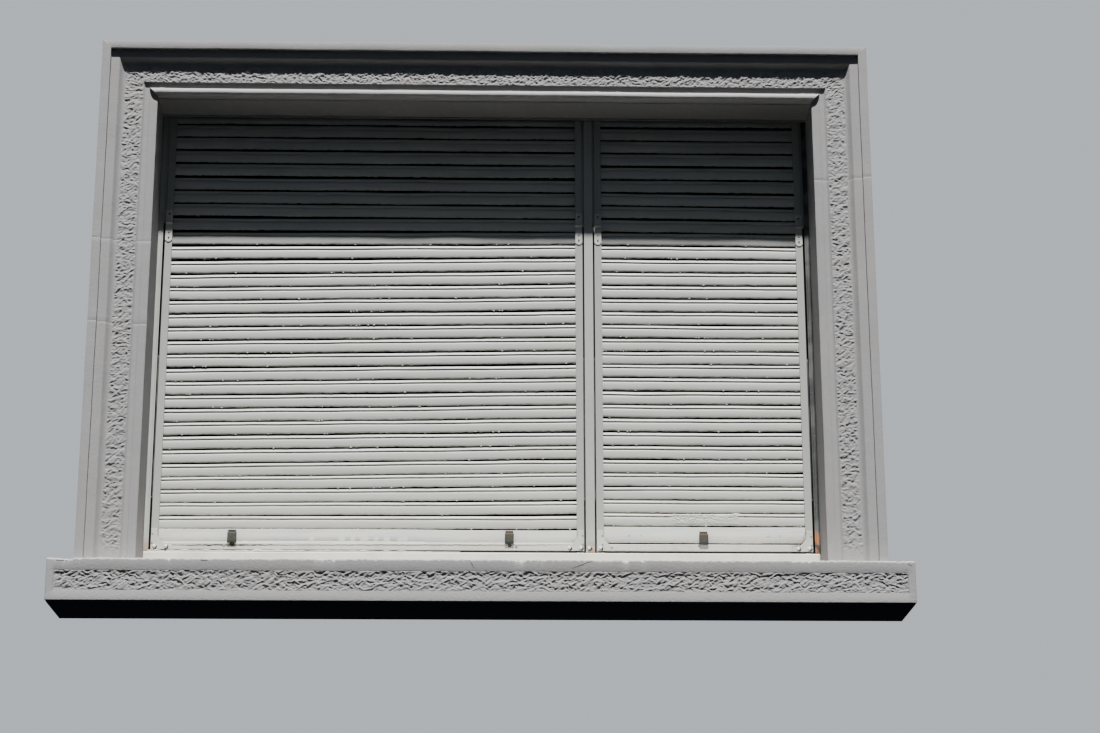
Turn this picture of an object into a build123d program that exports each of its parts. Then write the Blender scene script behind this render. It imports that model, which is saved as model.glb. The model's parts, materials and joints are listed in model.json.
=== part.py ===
from build123d import *
from math import asin, ceil, cos, degrees, floor, radians, sin, tan
import os

# Millimetres. X runs along the window, Y into the wall with 0 on the wall's outer face, Z up
# with 0 on the underside of the sill.

# Opening and moulded surround
opening_width = 2082.0
opening_height = 1515.0
trim_width = 177.0
trim_projection = 45.0
lining_thickness = 30.0
fillet_width = 27.0
band_width = 27.0
band_depth = 10.0
cove_width = 18.0
panel_width = 58.0
panel_depth = 26.0
quirk_width = 20.0
quirk_depth = 34.0

# Sill and threshold
sill_height = 127.0
sill_projection = 75.0
sill_overhang = 75.0
sill_slope = 0.05
sill_panel_height = 61.0
sill_panel_bottom = 29.0
sill_panel_margin = 22.0
sill_panel_depth = 8.0
drip_width = 9.0
drip_depth = 7.0
drip_setback = 18.0
threshold_top = 199.0
frame_gap_below = 7.0

# Reveal, posts and mullion
reveal_depth = 150.0
post_thickness = 11.0
post_recess = 2.0
frame_depth = 57.0
mullion_centre = 331.0
mullion_width = 28.0
outer_gap = 11.0
inner_gap = 5.0

# Guides
guide_width = 23.0
guide_depth = 24.0
guide_wall = 3.0
slot_clearance = 2.0
slat_end_clearance = 4.0
guide_top_above_floor = 12.0
packer_inset = 3.0

# Slats
slat_thickness = 14.0
slat_pitch = 44.8
face_height = 28.0
face_crown = 1.0
groove_depth = 2.5
groove_height = 4.0
nose_setback = 1.0
tongue_front = 6.3
tongue_back = 11.2
tongue_lap = 2.5
shoulder_drop = 6.8
hollow_depth = 6.0
hollow_front = 2.6
hollow_back = 12.4
kerf_width = 1.6
kerf_centre = 9.0
kerf_depth = 12.0
visible_gap = 3.0
left_skew_deg = 0.9
right_skew_deg = -0.6
skew_ramp = 4.0
right_skew_ramp = 3.0

# Links between the slats
link_thickness = 1.2
link_width = 14.0
left_link_stations = (0.07, 0.5, 0.93)
right_link_stations = (0.1, 0.88)

# Bottom slat, its stop blocks and the swing frame's bottom rail
rail_height = 22.0
bottom_slat_height = 46.7
rest_clearance = 0.3
block_width = 28.0
block_height = 32.0
block_depth = 13.0
left_block_centres = (-771.0, 81.0)
right_block_centres = (681.0,)

# Hinges in the guides
hinge_height = 1273.0
hinge_end_gap = 6.0
knuckle_radius = 4.0
hinge_pin_radius = 2.0
running_gap = 0.05
leaf_thickness = 2.0
leaf_width = 22.0
upper_leaf_height = 42.0
lower_leaf_height = 64.0
knuckle_gap = 0.3
leaf_rounding = 0.3
swing_mouth = 13.0
swing_top_clearance = 4.6

# Projecting stays
stay_reach = 450.0
stay_lean = 9.0
stay_width = 14.0
stay_thickness = 2.5
stay_corner_share = 0.3
stay_side_gap = 1.5
stay_pin_radius = 3.0
slide_pin_radius = 3.5
slide_clearance = 0.3
slide_slot_depth = 8.0
swing_max_deg = 35.0

# Corner plates
corner_leg = 65.0
corner_rise = 14.0
corner_thickness = 2.5
bolt_neck = 6.0
bolt_head_radius = 6.0
bolt_head_height = 3.0
bolt_up = 9.0
bolt_spacing = 35.0

# Shutter box, barrel and strap pulley
board = 15.0
front_board_setback = 6.0
lift_travel = 89.6
roll_radius = 95.0
box_depth = 216.0
floor_board_setback = 20.0
barrel_flats = 60.0
barrel_wall = 1.5
barrel_end_clearance = 18.0
cap_thickness = 6.0
gudgeon_radius = 6.0
bearing_size = 60.0
bearing_thickness = 4.0
pulley_radius = 80.0
pulley_groove_radius = 70.0
pulley_width = 20.0
pulley_flat = 12.0
strap_slot_width = 26.0
strap_slot_depth = 8.0
strap_plate_width = 60.0
strap_plate_depth = 24.0
strap_plate_thickness = 3.0
hanger_width = 25.0
hanger_thickness = 1.0
hanger_lap = 35.0
left_hanger_stations = (0.12, 0.5, 0.88)
right_hanger_stations = (0.15, 0.85)

# Derived places
half_opening = opening_width / 2
half_trim = half_opening + trim_width
soffit_z = sill_height + opening_height
trim_top = soffit_z + trim_width
half_sill = half_trim + sill_overhang
frame_back = reveal_depth - post_recess + frame_depth
lining_top = soffit_z + lining_thickness
guide_front = reveal_depth
guide_back = guide_front + guide_depth
curtain_front = guide_front + guide_wall + slot_clearance
swing_bottom = threshold_top + frame_gap_below
rail_top = swing_bottom + rail_height
hinge_y = guide_front - leaf_thickness / 2
guide_top = lining_top + board + guide_top_above_floor
first_slat_bottom = rail_top + rest_clearance + bottom_slat_height
slat_count = ceil((soffit_z - first_slat_bottom) / slat_pitch)
lower_slat_count = floor((hinge_height - first_slat_bottom) / slat_pitch)
first_upper_slat_bottom = first_slat_bottom + lower_slat_count * slat_pitch
swing_top = min(hinge_height - hinge_end_gap, first_upper_slat_bottom - swing_top_clearance)
slat_height = slat_pitch + tongue_lap

# Outer faces of the four guides, from left to right
left_outer = -(half_opening - post_thickness - outer_gap)
left_inner = mullion_centre - mullion_width / 2 - inner_gap
right_inner = mullion_centre + mullion_width / 2 + inner_gap
right_outer = half_opening - post_thickness - outer_gap

# Box
box_floor = lining_top + board
box_ceiling = box_floor + 2 * roll_radius
box_front = reveal_depth - front_board_setback
box_back = box_front + box_depth
box_half = half_opening + lining_thickness
barrel_y = (box_front + box_back) / 2
barrel_z = box_floor + roll_radius
pulley_y = barrel_y + pulley_groove_radius


def solid_box(x0, x1, y0, y1, z0, z1):
    """Box between two corners."""
    centre = ((x0 + x1) / 2, (y0 + y1) / 2, (z0 + z1) / 2)
    return Pos(*centre) * Box(x1 - x0, y1 - y0, z1 - z0)


def rod_x(x0, x1, y, z, radius):
    """Round bar along X."""
    return Pos((x0 + x1) / 2, y, z) * Rot(0, 90, 0) * Cylinder(radius, abs(x1 - x0))


def write(name, *solids):
    """Write one sub-part."""
    shape = solids[0] if len(solids) == 1 else Compound(children=list(solids))
    export_step(shape, f"parts/{name}.step")


def sill_top(y):
    """Height of the sloping sill at depth y."""
    return sill_height + sill_slope * (y + sill_projection)


def trim_section(return_back):
    """Moulded section: u inward from the outer edge, v back from the fillet's face."""
    wall = trim_projection
    cove_start = fillet_width + band_width
    panel_start = cove_start + cove_width
    panel_end = panel_start + panel_width
    bead_start = panel_end + quirk_width
    bead_radius = (trim_width - bead_start) / 2
    cove_mid = (cove_start + 0.3 * cove_width, panel_depth - 0.3 * (panel_depth - band_depth))
    outline = Polyline(
        (0, wall), (0, 0), (fillet_width, 0), (fillet_width, band_depth), (cove_start, band_depth)
    )
    outline += ThreePointArc((cove_start, band_depth), cove_mid, (panel_start, panel_depth))
    outline += Polyline(
        (panel_start, panel_depth),
        (panel_end, panel_depth),
        (panel_end, quirk_depth),
        (bead_start, quirk_depth),
    )
    outline += ThreePointArc(
        (bead_start, quirk_depth),
        (bead_start + bead_radius, quirk_depth - bead_radius),
        (trim_width, quirk_depth),
    )
    outline += Polyline(
        (trim_width, quirk_depth),
        (trim_width, wall + return_back),
        (trim_width - lining_thickness, wall + return_back),
        (trim_width - lining_thickness, wall),
        (0, wall),
    )
    return make_face(outline)


def mitre_wedge(side):
    """Everything above the mitre of one top corner, well past the other corner."""
    reach = 3 * half_trim
    corner_x = side * half_trim
    points = [
        (corner_x + side * reach, trim_top + reach),
        (corner_x - side * reach, trim_top - reach),
        (corner_x - side * reach, trim_top + 2 * reach),
    ]
    face = make_face(Polyline(*points, close=True))
    depth = 3 * (frame_back + trim_projection)
    return extrude(Plane.XZ * face, depth / 2, both=True)


def below_sill_top():
    """Everything under the sill's sloping top."""
    front, back = -2 * sill_projection, 2 * frame_back
    points = [(front, sill_top(front)), (back, sill_top(back)), (back, -1), (front, -1)]
    face = Plane.YZ * make_face(Polyline(*points, close=True))
    return extrude(face, half_sill + 1, both=True)


def jamb(side):
    """One side of the surround with its reveal lining."""
    section = trim_section(frame_back)
    upright = extrude(section, trim_top)
    placed = Pos(-half_trim, -trim_projection, 0) * upright
    if side > 0:
        placed = placed.mirror(Plane.YZ)
    return placed - mitre_wedge(side) - below_sill_top()


def head():
    """Top of the surround with its soffit, mitred at both ends."""
    section = trim_section(reveal_depth - 2 * post_recess)
    lying = extrude(section, half_trim, both=True)
    turned = Rot(0, 90, 0) * lying
    placed = Pos(0, -trim_projection, trim_top) * turned
    return placed & (mitre_wedge(1) & mitre_wedge(-1))


def sill():
    """Stone sill with a sloping top, a sunk front panel and a drip under its nose."""
    outline = [
        (-sill_projection, 0),
        (-sill_projection, sill_height),
        (frame_back, sill_top(frame_back)),
        (frame_back, 0),
    ]
    body = extrude(Plane.YZ * make_face(Polyline(*outline, close=True)), half_sill, both=True)
    panel = solid_box(
        -half_sill + sill_panel_margin,
        half_sill - sill_panel_margin,
        -sill_projection - 1,
        -sill_projection + sill_panel_depth,
        sill_panel_bottom,
        sill_panel_bottom + sill_panel_height,
    )
    drip_front = -sill_projection + drip_setback
    drip = solid_box(
        -half_sill + sill_panel_margin,
        half_sill - sill_panel_margin,
        drip_front,
        drip_front + drip_width,
        -1,
        drip_depth,
    )
    return body - panel - drip


def threshold():
    """Level strip on the sill that the posts stand on."""
    strip = solid_box(
        -half_opening, half_opening, reveal_depth - 2 * post_recess, frame_back, sill_height, threshold_top
    )
    return strip - below_sill_top()


# Line on which a stay's two pins lie at rest
lean = asin(stay_lean / stay_reach)


def on_stay_line(reach):
    """Point (y, z) that far down the line from the hinge."""
    return hinge_y + reach * sin(lean), hinge_height - reach * cos(lean)


def slide_slot(face_x, side):
    """Blind slot for a stay's slide pin, cut into the face at face_x towards side."""
    room = slide_pin_radius + slide_clearance
    top = 2 * stay_reach * cos(radians(swing_max_deg)) - room
    low = 2 * stay_reach + room
    middle_y, middle_z = on_stay_line((top + low) / 2)
    plane = Plane(origin=(face_x, middle_y, middle_z), x_dir=(0, 1, 0), z_dir=(1, 0, 0))
    shape = Rectangle(low - top, 2 * room, rotation=90 + degrees(lean))
    return extrude(plane * shape, side * slide_slot_depth)


def side_post(side):
    """Thin post against the reveal, slotted for the outer stay."""
    x0, x1 = sorted((side * (half_opening - post_thickness), side * half_opening))
    post = solid_box(x0, x1, reveal_depth - post_recess, frame_back, threshold_top, lining_top)
    return post - slide_slot(side * (half_opening - post_thickness), side)


def mullion():
    """Post between the two blinds, slotted on both faces."""
    x0, x1 = mullion_centre - mullion_width / 2, mullion_centre + mullion_width / 2
    post = solid_box(x0, x1, reveal_depth - post_recess, frame_back, threshold_top, lining_top)
    return post - slide_slot(x0, 1) - slide_slot(x1, -1)


def guide(outer_x, side, z0, z1, mouth_low, mouth_high):
    """Channel open towards side, its back flange cut away between the mouth's heights."""
    x_far = outer_x + side * guide_width
    x_web = outer_x + side * guide_wall
    body = solid_box(*sorted((outer_x, x_far)), guide_front, guide_back, z0, z1)
    slot = solid_box(
        *sorted((x_web, x_far + side)), guide_front + guide_wall, guide_back - guide_wall, z0 - 1, z1 + 1
    )
    mouth = solid_box(
        *sorted((x_web, x_far + side)), guide_back - guide_wall - 1, guide_back + 1, mouth_low, mouth_high
    )
    return body - slot - mouth


def fixed_guide(outer_x, side):
    """Upper guide, with a mouth behind that lets the slats turn the corner."""
    low = hinge_height + hinge_end_gap
    mouth = low + lift_travel + 2 * slat_thickness
    return guide(outer_x, side, low, guide_top, low - 1, mouth)


def swing_guide(outer_x, side):
    """Lower guide of the frame that swings out."""
    return guide(outer_x, side, swing_bottom, swing_top, swing_top - swing_mouth, swing_top + 1)


def packer(outer_x, side, gap):
    """Strip that fills the gap between a fixed guide and its post."""
    x0, x1 = sorted((outer_x, outer_x - side * gap))
    low = hinge_height + hinge_end_gap
    return solid_box(x0, x1, guide_front + packer_inset, guide_back - packer_inset, low, lining_top)


def slat_outline():
    """Section of one slat: y back from its face, z up from its bottom edge."""
    kerf_front = kerf_centre - kerf_width / 2
    kerf_back = kerf_centre + kerf_width / 2
    shoulder = slat_height - shoulder_drop
    outline = ThreePointArc((face_crown, 0), (0, face_height / 2), (face_crown, face_height))
    outline += Polyline(
        (face_crown, face_height),
        (face_crown + groove_depth, face_height + groove_height / 2),
        (face_crown + nose_setback, face_height + groove_height),
        (tongue_front, slat_pitch - visible_gap),
        (tongue_front + 0.5, slat_height),
        (kerf_front, slat_height),
        (kerf_front, slat_height - kerf_depth),
        (kerf_back, slat_height - kerf_depth),
        (kerf_back, slat_height),
        (tongue_back, slat_height),
        (tongue_back, shoulder),
        (slat_thickness, shoulder - 2),
        (slat_thickness, 0),
        (hollow_back, 0),
        (hollow_back, hollow_depth),
        (hollow_front + 0.6, hollow_depth),
        (hollow_front, 0),
        (face_crown, 0),
    )
    return make_face(outline)


def bottom_slat_outline(height):
    """Section of the plain bottom slat, with the same tongue on top."""
    top = height - tongue_lap
    kerf_front = kerf_centre - kerf_width / 2
    kerf_back = kerf_centre + kerf_width / 2
    points = [
        (0, 0),
        (0, top - 3),
        (tongue_front, top - 3),
        (tongue_front + 0.5, height),
        (kerf_front, height),
        (kerf_front, height - kerf_depth),
        (kerf_back, height - kerf_depth),
        (kerf_back, height),
        (tongue_back, height),
        (tongue_back, top - 3),
        (slat_thickness, top - 3),
        (slat_thickness, 0),
    ]
    return make_face(Polyline(*points, close=True))


def skew_of(side, index):
    """Angle in degrees by which a slat hangs out of level; the bottom slat has index -1."""
    if side < 0:
        share = min((index + 1) / skew_ramp, (lower_slat_count + 1 - index) / skew_ramp)
        return left_skew_deg * max(0.0, min(1.0, share))
    middle = lower_slat_count + 1
    share = min((index - middle) / right_skew_ramp + 1, (middle - index) / right_skew_ramp + 1)
    return right_skew_deg * max(0.0, min(1.0, share))


def slat_base(side, index, x, centre_x):
    """Height of a slat's bottom edge at x."""
    level = first_slat_bottom + index * slat_pitch
    return level + (x - centre_x) * tan(radians(skew_of(side, index)))


def place_slat(slat, side, index, centre_x):
    """Put a slat at its height and turn it about its own middle."""
    middle = first_slat_bottom + (index + 0.5) * slat_pitch
    turn = Rot(0, -skew_of(side, index), 0)
    return Pos(centre_x, curtain_front, middle) * turn * Pos(0, 0, -slat_pitch / 2) * slat


def link(side, index, x, centre_x):
    """Flat link from the kerf of slat index - 1 to the hollow of slat index."""
    low = slat_base(side, index - 1, x, centre_x) + slat_height - kerf_depth + rest_clearance
    high = slat_base(side, index, x, centre_x) + hollow_depth - rest_clearance
    y = curtain_front + kerf_centre
    return Pos(x, y, (low + high) / 2) * Box(link_width, link_thickness, high - low)


def stop_block(x, slat_bottom):
    """Block screwed to the bottom slat that stops the blind against the soffit."""
    front = curtain_front - block_depth
    top = slat_bottom + block_height
    body = solid_box(x - block_width / 2, x + block_width / 2, front, curtain_front, slat_bottom, top)
    edges = body.edges().filter_by(Axis.X).group_by(Axis.Y)[0]
    return chamfer(edges, block_depth / 5)


def hinge_leaf(outer_x, side, up):
    """Leaf on a guide's face with half the knuckle: outer half above, inner half below."""
    x = outer_x + side * guide_width / 2
    height = upper_leaf_height if up > 0 else lower_leaf_height
    front, back = guide_front - leaf_thickness, guide_front
    end = hinge_height + up * height
    leaf = solid_box(x - leaf_width / 2, x + leaf_width / 2, front, back, *sorted((hinge_height, end)))
    if up < 0:
        leaf = chamfer(leaf.edges().filter_by(Axis.Y).sort_by(Axis.Z)[:2], leaf_width * leaf_rounding)
    own_end = x - up * side * leaf_width / 2
    meeting = x - up * side * knuckle_gap / 2
    leaf += rod_x(own_end, meeting, hinge_y, hinge_height, knuckle_radius)
    cleared = hinge_height + up * (knuckle_radius + knuckle_gap)
    room = (*sorted((meeting, x + up * side * leaf_width)), front - 1, back + 1)
    return leaf - solid_box(*room, *sorted((hinge_height - up, cleared)))


def upper_hinge_leaf(outer_x, side):
    """Upper leaf with the hinge pin riveted in its knuckle."""
    x = outer_x + side * guide_width / 2
    pin = rod_x(x - side, x + side * leaf_width / 2, hinge_y, hinge_height, hinge_pin_radius)
    return hinge_leaf(outer_x, side, 1) + pin


def lower_hinge_leaf(outer_x, side):
    """Lower leaf, bored for the pin."""
    x = outer_x + side * guide_width / 2
    bore = rod_x(x - leaf_width, x + leaf_width, hinge_y, hinge_height, hinge_pin_radius + running_gap)
    return hinge_leaf(outer_x, side, -1) - bore


def coach_bolt(x, z, face):
    """Round-headed bolt with its square neck in a corner plate."""
    head_disc = Pos(0, -bolt_head_height / 2, 0) * Rot(90, 0, 0) * Cylinder(bolt_head_radius, bolt_head_height)
    neck = Pos(0, corner_thickness / 2, 0) * Box(bolt_neck, corner_thickness, bolt_neck)
    return Pos(x, face, z) * (head_disc + neck)


def bolt_places(outer_x, side):
    """Centres (x, z) of a corner plate's two bolts: in the guide, then in the rail."""
    first = outer_x + side * guide_width / 2
    return [(first, swing_bottom + bolt_up), (first + side * bolt_spacing, swing_bottom + bolt_up)]


def corner_plate(outer_x, side):
    """Three-cornered plate with a hollowed long edge, across guide and bottom rail."""
    x0, x1 = outer_x + side, outer_x + side * corner_leg
    z0, z1 = swing_bottom, swing_bottom + corner_leg
    inner_x = outer_x + side * (guide_width - 2)
    low_z = z0 + corner_rise
    outline = Polyline((x0, z0), (x1, z0), (x1, low_z))
    outline += ThreePointArc(
        (x1, low_z), (outer_x + side * (guide_width + 9), z0 + corner_rise + 12), (inner_x, z1)
    )
    outline += Polyline((inner_x, z1), (x0, z1), (x0, z0))
    face = Plane.XZ * make_face(outline)
    plate = Pos(0, guide_front, 0) * extrude(face, corner_thickness * (1 if face.face().normal_at().Y < 0 else -1))
    hole = bolt_neck + 2 * running_gap
    for x, z in bolt_places(outer_x, side):
        plate -= Pos(x, guide_front, z) * Box(hole, 4 * corner_thickness, hole)
    return plate


def bottom_rail(left_x, right_x):
    """Bar between the feet of a swing frame's two guides."""
    return solid_box(
        left_x + guide_width, right_x - guide_width, guide_front, guide_back, swing_bottom, rail_top
    )


def stay_arm(outer_x, side, gap):
    """Flat arm beside a swing guide, with its slide pin riveted in the lower end."""
    near = outer_x - side * stay_side_gap
    far = near - side * stay_thickness
    top_y, top_z = on_stay_line(stay_reach)
    low_y, low_z = on_stay_line(2 * stay_reach)
    plane = Plane(
        origin=(near, (top_y + low_y) / 2, (top_z + low_z) / 2), x_dir=(0, 1, 0), z_dir=(1, 0, 0)
    )
    blank = Rectangle(stay_reach + stay_width, stay_width, rotation=90 + degrees(lean))
    shape = chamfer(blank.vertices(), stay_width * stay_corner_share)
    arm = extrude(plane * shape, -side * stay_thickness)
    arm -= rod_x(near + side, far - side, top_y, top_z, stay_pin_radius + running_gap)
    post_face = outer_x - side * gap
    pin_end = post_face - side * (slide_slot_depth - 1)
    return arm + rod_x(near, pin_end, low_y, low_z, slide_pin_radius)


def stay_pivot(outer_x, side):
    """Stud welded to a swing guide's web that the top of its arm turns on."""
    y, z = on_stay_line(stay_reach)
    end = outer_x - side * (stay_side_gap + stay_thickness + rest_clearance)
    return rod_x(outer_x, end, y, z, stay_pin_radius)


def octagon(across):
    """Regular octagon with one flat facing the window."""
    return RegularPolygon(across / 2, 8, major_radius=False, rotation=22.5)


def barrel(x0, x1):
    """Eight-sided tube that the blind winds on."""
    ring = octagon(barrel_flats) - octagon(barrel_flats - 2 * barrel_wall)
    tube = extrude(Plane.YZ * ring, x1 - x0)
    return Pos(x0, barrel_y, barrel_z) * tube


def barrel_end(tube_x, side, bearing_x):
    """Plug in one end of the barrel, with the gudgeon that turns in the bearing."""
    plug = extrude(Plane.YZ * octagon(barrel_flats - 2 * barrel_wall - 0.4), -side * 2 * cap_thickness)
    flange = extrude(Plane.YZ * octagon(barrel_flats), side * cap_thickness)
    body = Pos(tube_x, barrel_y, barrel_z) * (plug + flange)
    return body + rod_x(tube_x, bearing_x - side, barrel_y, barrel_z, gudgeon_radius)


def bearing(face_x, side):
    """Plate on a wall of the box, open above so that the barrel drops in; side points into the box."""
    x0, x1 = sorted((face_x, face_x + side * bearing_thickness))
    half = bearing_size / 2
    seat = gudgeon_radius + running_gap
    plate = solid_box(x0, x1, barrel_y - half, barrel_y + half, barrel_z - half, barrel_z + half)
    plate -= rod_x(x0 - 1, x1 + 1, barrel_y, barrel_z, seat)
    return plate - solid_box(x0 - 1, x1 + 1, barrel_y - seat, barrel_y + seat, barrel_z, barrel_z + 2 * half)


def pulley_wheel(x0, x1):
    """Grooved wheel for the lifting strap, cast on its barrel end."""
    x_mid = (x0 + x1) / 2
    outline = Polyline(
        (x0, 0),
        (x1, 0),
        (x1, pulley_radius),
        (x_mid + pulley_flat / 2, pulley_groove_radius),
        (x_mid - pulley_flat / 2, pulley_groove_radius),
        (x0, pulley_radius),
        close=True,
    )
    wheel = revolve(make_face(outline), Axis.X)
    return Pos(0, barrel_y, barrel_z) * wheel


def hanger(x, top_slat_bottom):
    """Steel strap from the back of the top slat to the barrel's front flat."""
    back = curtain_front + slat_thickness + hanger_thickness / 2
    flat_y = barrel_y - barrel_flats / 2 - rest_clearance - hanger_thickness / 2
    low = top_slat_bottom + face_height / 4
    path = Polyline(
        (back, low),
        (back, low + hanger_lap),
        (flat_y, barrel_z - barrel_flats / 4),
        (flat_y, barrel_z + barrel_flats / 8),
    )
    strip = Plane.YZ * trace(path, hanger_thickness)
    return Pos(x, 0, 0) * extrude(strip, hanger_width / 2, both=True)


def strap_cut(x, low, high):
    """Room for the lifting strap below its pulley."""
    return solid_box(
        x - strap_slot_width / 2,
        x + strap_slot_width / 2,
        pulley_y - strap_slot_depth / 2,
        pulley_y + strap_slot_depth / 2,
        low,
        high,
    )


def strap_guide(x):
    """Slotted plate under the box floor where the strap leaves."""
    plate = solid_box(
        x - strap_plate_width / 2,
        x + strap_plate_width / 2,
        pulley_y - strap_plate_depth / 2,
        pulley_y + strap_plate_depth / 2,
        lining_top - strap_plate_thickness,
        lining_top,
    )
    return plate - strap_cut(x, lining_top - 2 * strap_plate_thickness, lining_top + 1)


# Surround, sill, threshold, posts
write("surround_head", head())
write("surround_left_jamb", jamb(-1))
write("surround_right_jamb", jamb(1))
write("sill", sill())
write("threshold", threshold())
write("left_side_post", side_post(-1))
write("right_side_post", side_post(1))
write("centre_mullion", mullion())

# Guides: name, outer face, side it opens to, gap to its post
guides = [
    ("left_outer", left_outer, 1, outer_gap),
    ("left_inner", left_inner, -1, inner_gap),
    ("right_inner", right_inner, 1, inner_gap),
    ("right_outer", right_outer, -1, outer_gap),
]
for name, outer_x, side, gap in guides:
    write(f"{name}_fixed_guide", fixed_guide(outer_x, side))
    write(f"{name}_swing_guide", swing_guide(outer_x, side))
write("guide_packers", *[packer(x, side, gap) for _, x, side, gap in guides])
write("upper_hinge_leaves", *[upper_hinge_leaf(x, side) for _, x, side, _ in guides])

# Shutter box
box_top = box_ceiling + board
pulley_x = box_half - board - 2 * bearing_thickness - 1 - pulley_width / 2
write("box_front_board", solid_box(-box_half, box_half, box_front - board, box_front, lining_top, box_top))
write(
    "box_floor_board",
    solid_box(
        -box_half + board,
        box_half - board,
        guide_back + floor_board_setback,
        box_back,
        lining_top,
        box_floor,
    )
    - strap_cut(-pulley_x, lining_top - 1, box_floor + 1)
    - strap_cut(pulley_x, lining_top - 1, box_floor + 1),
)
write(
    "box_top_board",
    solid_box(-box_half + board, box_half - board, box_front, box_back, box_ceiling, box_top),
)
write("box_back_cover", solid_box(-box_half, box_half, box_back, box_back + board, lining_top, box_top))
for name, side in (("left", -1), ("right", 1)):
    x0, x1 = sorted((side * (box_half - board), side * box_half))
    write(f"box_{name}_end", solid_box(x0, x1, box_front, box_back, lining_top, box_top))
write(
    "box_divider",
    solid_box(
        mullion_centre - board / 2, mullion_centre + board / 2, box_front, box_back, box_floor, box_ceiling
    ),
)
bearing_faces = [
    (-box_half + board, 1),
    (mullion_centre - board / 2, -1),
    (mullion_centre + board / 2, 1),
    (box_half - board, -1),
]
write("barrel_bearings", *[bearing(x, side) for x, side in bearing_faces])
write("strap_guides", strap_guide(-pulley_x), strap_guide(pulley_x))

# The two blinds
blinds = [
    ("left", -1, left_outer, left_inner, left_link_stations, left_block_centres, left_hanger_stations),
    ("right", 1, right_inner, right_outer, right_link_stations, right_block_centres, right_hanger_stations),
]
for name, hand, left_x, right_x, link_stations, block_centres, hanger_stations in blinds:
    slat_left = left_x + guide_wall + slat_end_clearance
    slat_right = right_x - guide_wall - slat_end_clearance
    length = slat_right - slat_left
    middle_x = (slat_left + slat_right) / 2
    slat = extrude(Plane.YZ * slat_outline(), length / 2, both=True)
    slats = [place_slat(slat, hand, index, middle_x) for index in range(slat_count)]
    write(f"{name}_lower_slats", *slats[:lower_slat_count])
    write(f"{name}_upper_slats", *slats[lower_slat_count:])

    stations = [slat_left + share * length for share in link_stations]
    joined = [index for index in range(slat_count) if index != lower_slat_count]
    links = {index: [link(hand, index, x, middle_x) for x in stations] for index in joined}
    lower_links = [plate for index in joined if index < lower_slat_count for plate in links[index]]
    upper_links = [plate for index in joined if index > lower_slat_count for plate in links[index]]
    write(f"{name}_lower_links", *lower_links)
    write(f"{name}_upper_links", *upper_links)

    slat_bottom = rail_top + rest_clearance
    plain = extrude(Plane.YZ * bottom_slat_outline(bottom_slat_height + tongue_lap), length / 2, both=True)
    write(f"{name}_bottom_slat", Pos(middle_x, curtain_front, slat_bottom) * plain)
    write(f"{name}_stop_blocks", *[stop_block(x, slat_bottom) for x in block_centres])

    sides = ((left_x, 1), (right_x, -1))
    gaps = (outer_gap, inner_gap) if hand < 0 else (inner_gap, outer_gap)
    write(f"{name}_bottom_rail", bottom_rail(left_x, right_x))
    write(f"{name}_corner_plates", *[corner_plate(x, side) for x, side in sides])
    write(f"{name}_lower_hinge_leaves", *[lower_hinge_leaf(x, side) for x, side in sides])
    places = [place for x, side in sides for place in bolt_places(x, side)]
    write(f"{name}_corner_bolts", *[coach_bolt(x, z, guide_front - corner_thickness) for x, z in places])
    write(f"{name}_stay_pivots", *[stay_pivot(x, side) for x, side in sides])
    write(f"{name}_stay_arms", *[stay_arm(x, side, gap) for (x, side), gap in zip(sides, gaps)])

    # Barrel between the box wall and the divider
    if hand < 0:
        wall_x, divider_x = -box_half + board, mullion_centre - board / 2
    else:
        wall_x, divider_x = mullion_centre + board / 2, box_half - board
    outer_room = 2 * bearing_thickness + pulley_width + barrel_end_clearance / 2
    left_room, right_room = (outer_room, barrel_end_clearance) if hand < 0 else (barrel_end_clearance, outer_room)
    tube_left, tube_right = wall_x + left_room, divider_x - right_room
    write(f"{name}_barrel", barrel(tube_left, tube_right))
    ends = [barrel_end(tube_left, -1, wall_x), barrel_end(tube_right, 1, divider_x)]
    pulley_centre = hand * pulley_x
    wheel = pulley_wheel(pulley_centre - pulley_width / 2, pulley_centre + pulley_width / 2)
    outer, inner = ends if hand < 0 else ends[::-1]
    write(f"{name}_strap_pulley", outer + wheel)
    write(f"{name}_barrel_end", inner)
    top_bottom = first_slat_bottom + (slat_count - 1) * slat_pitch
    hanger_places = [slat_left + share * length for share in hanger_stations]
    write(f"{name}_hangers", *[hanger(x, top_bottom) for x in hanger_places])
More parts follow.
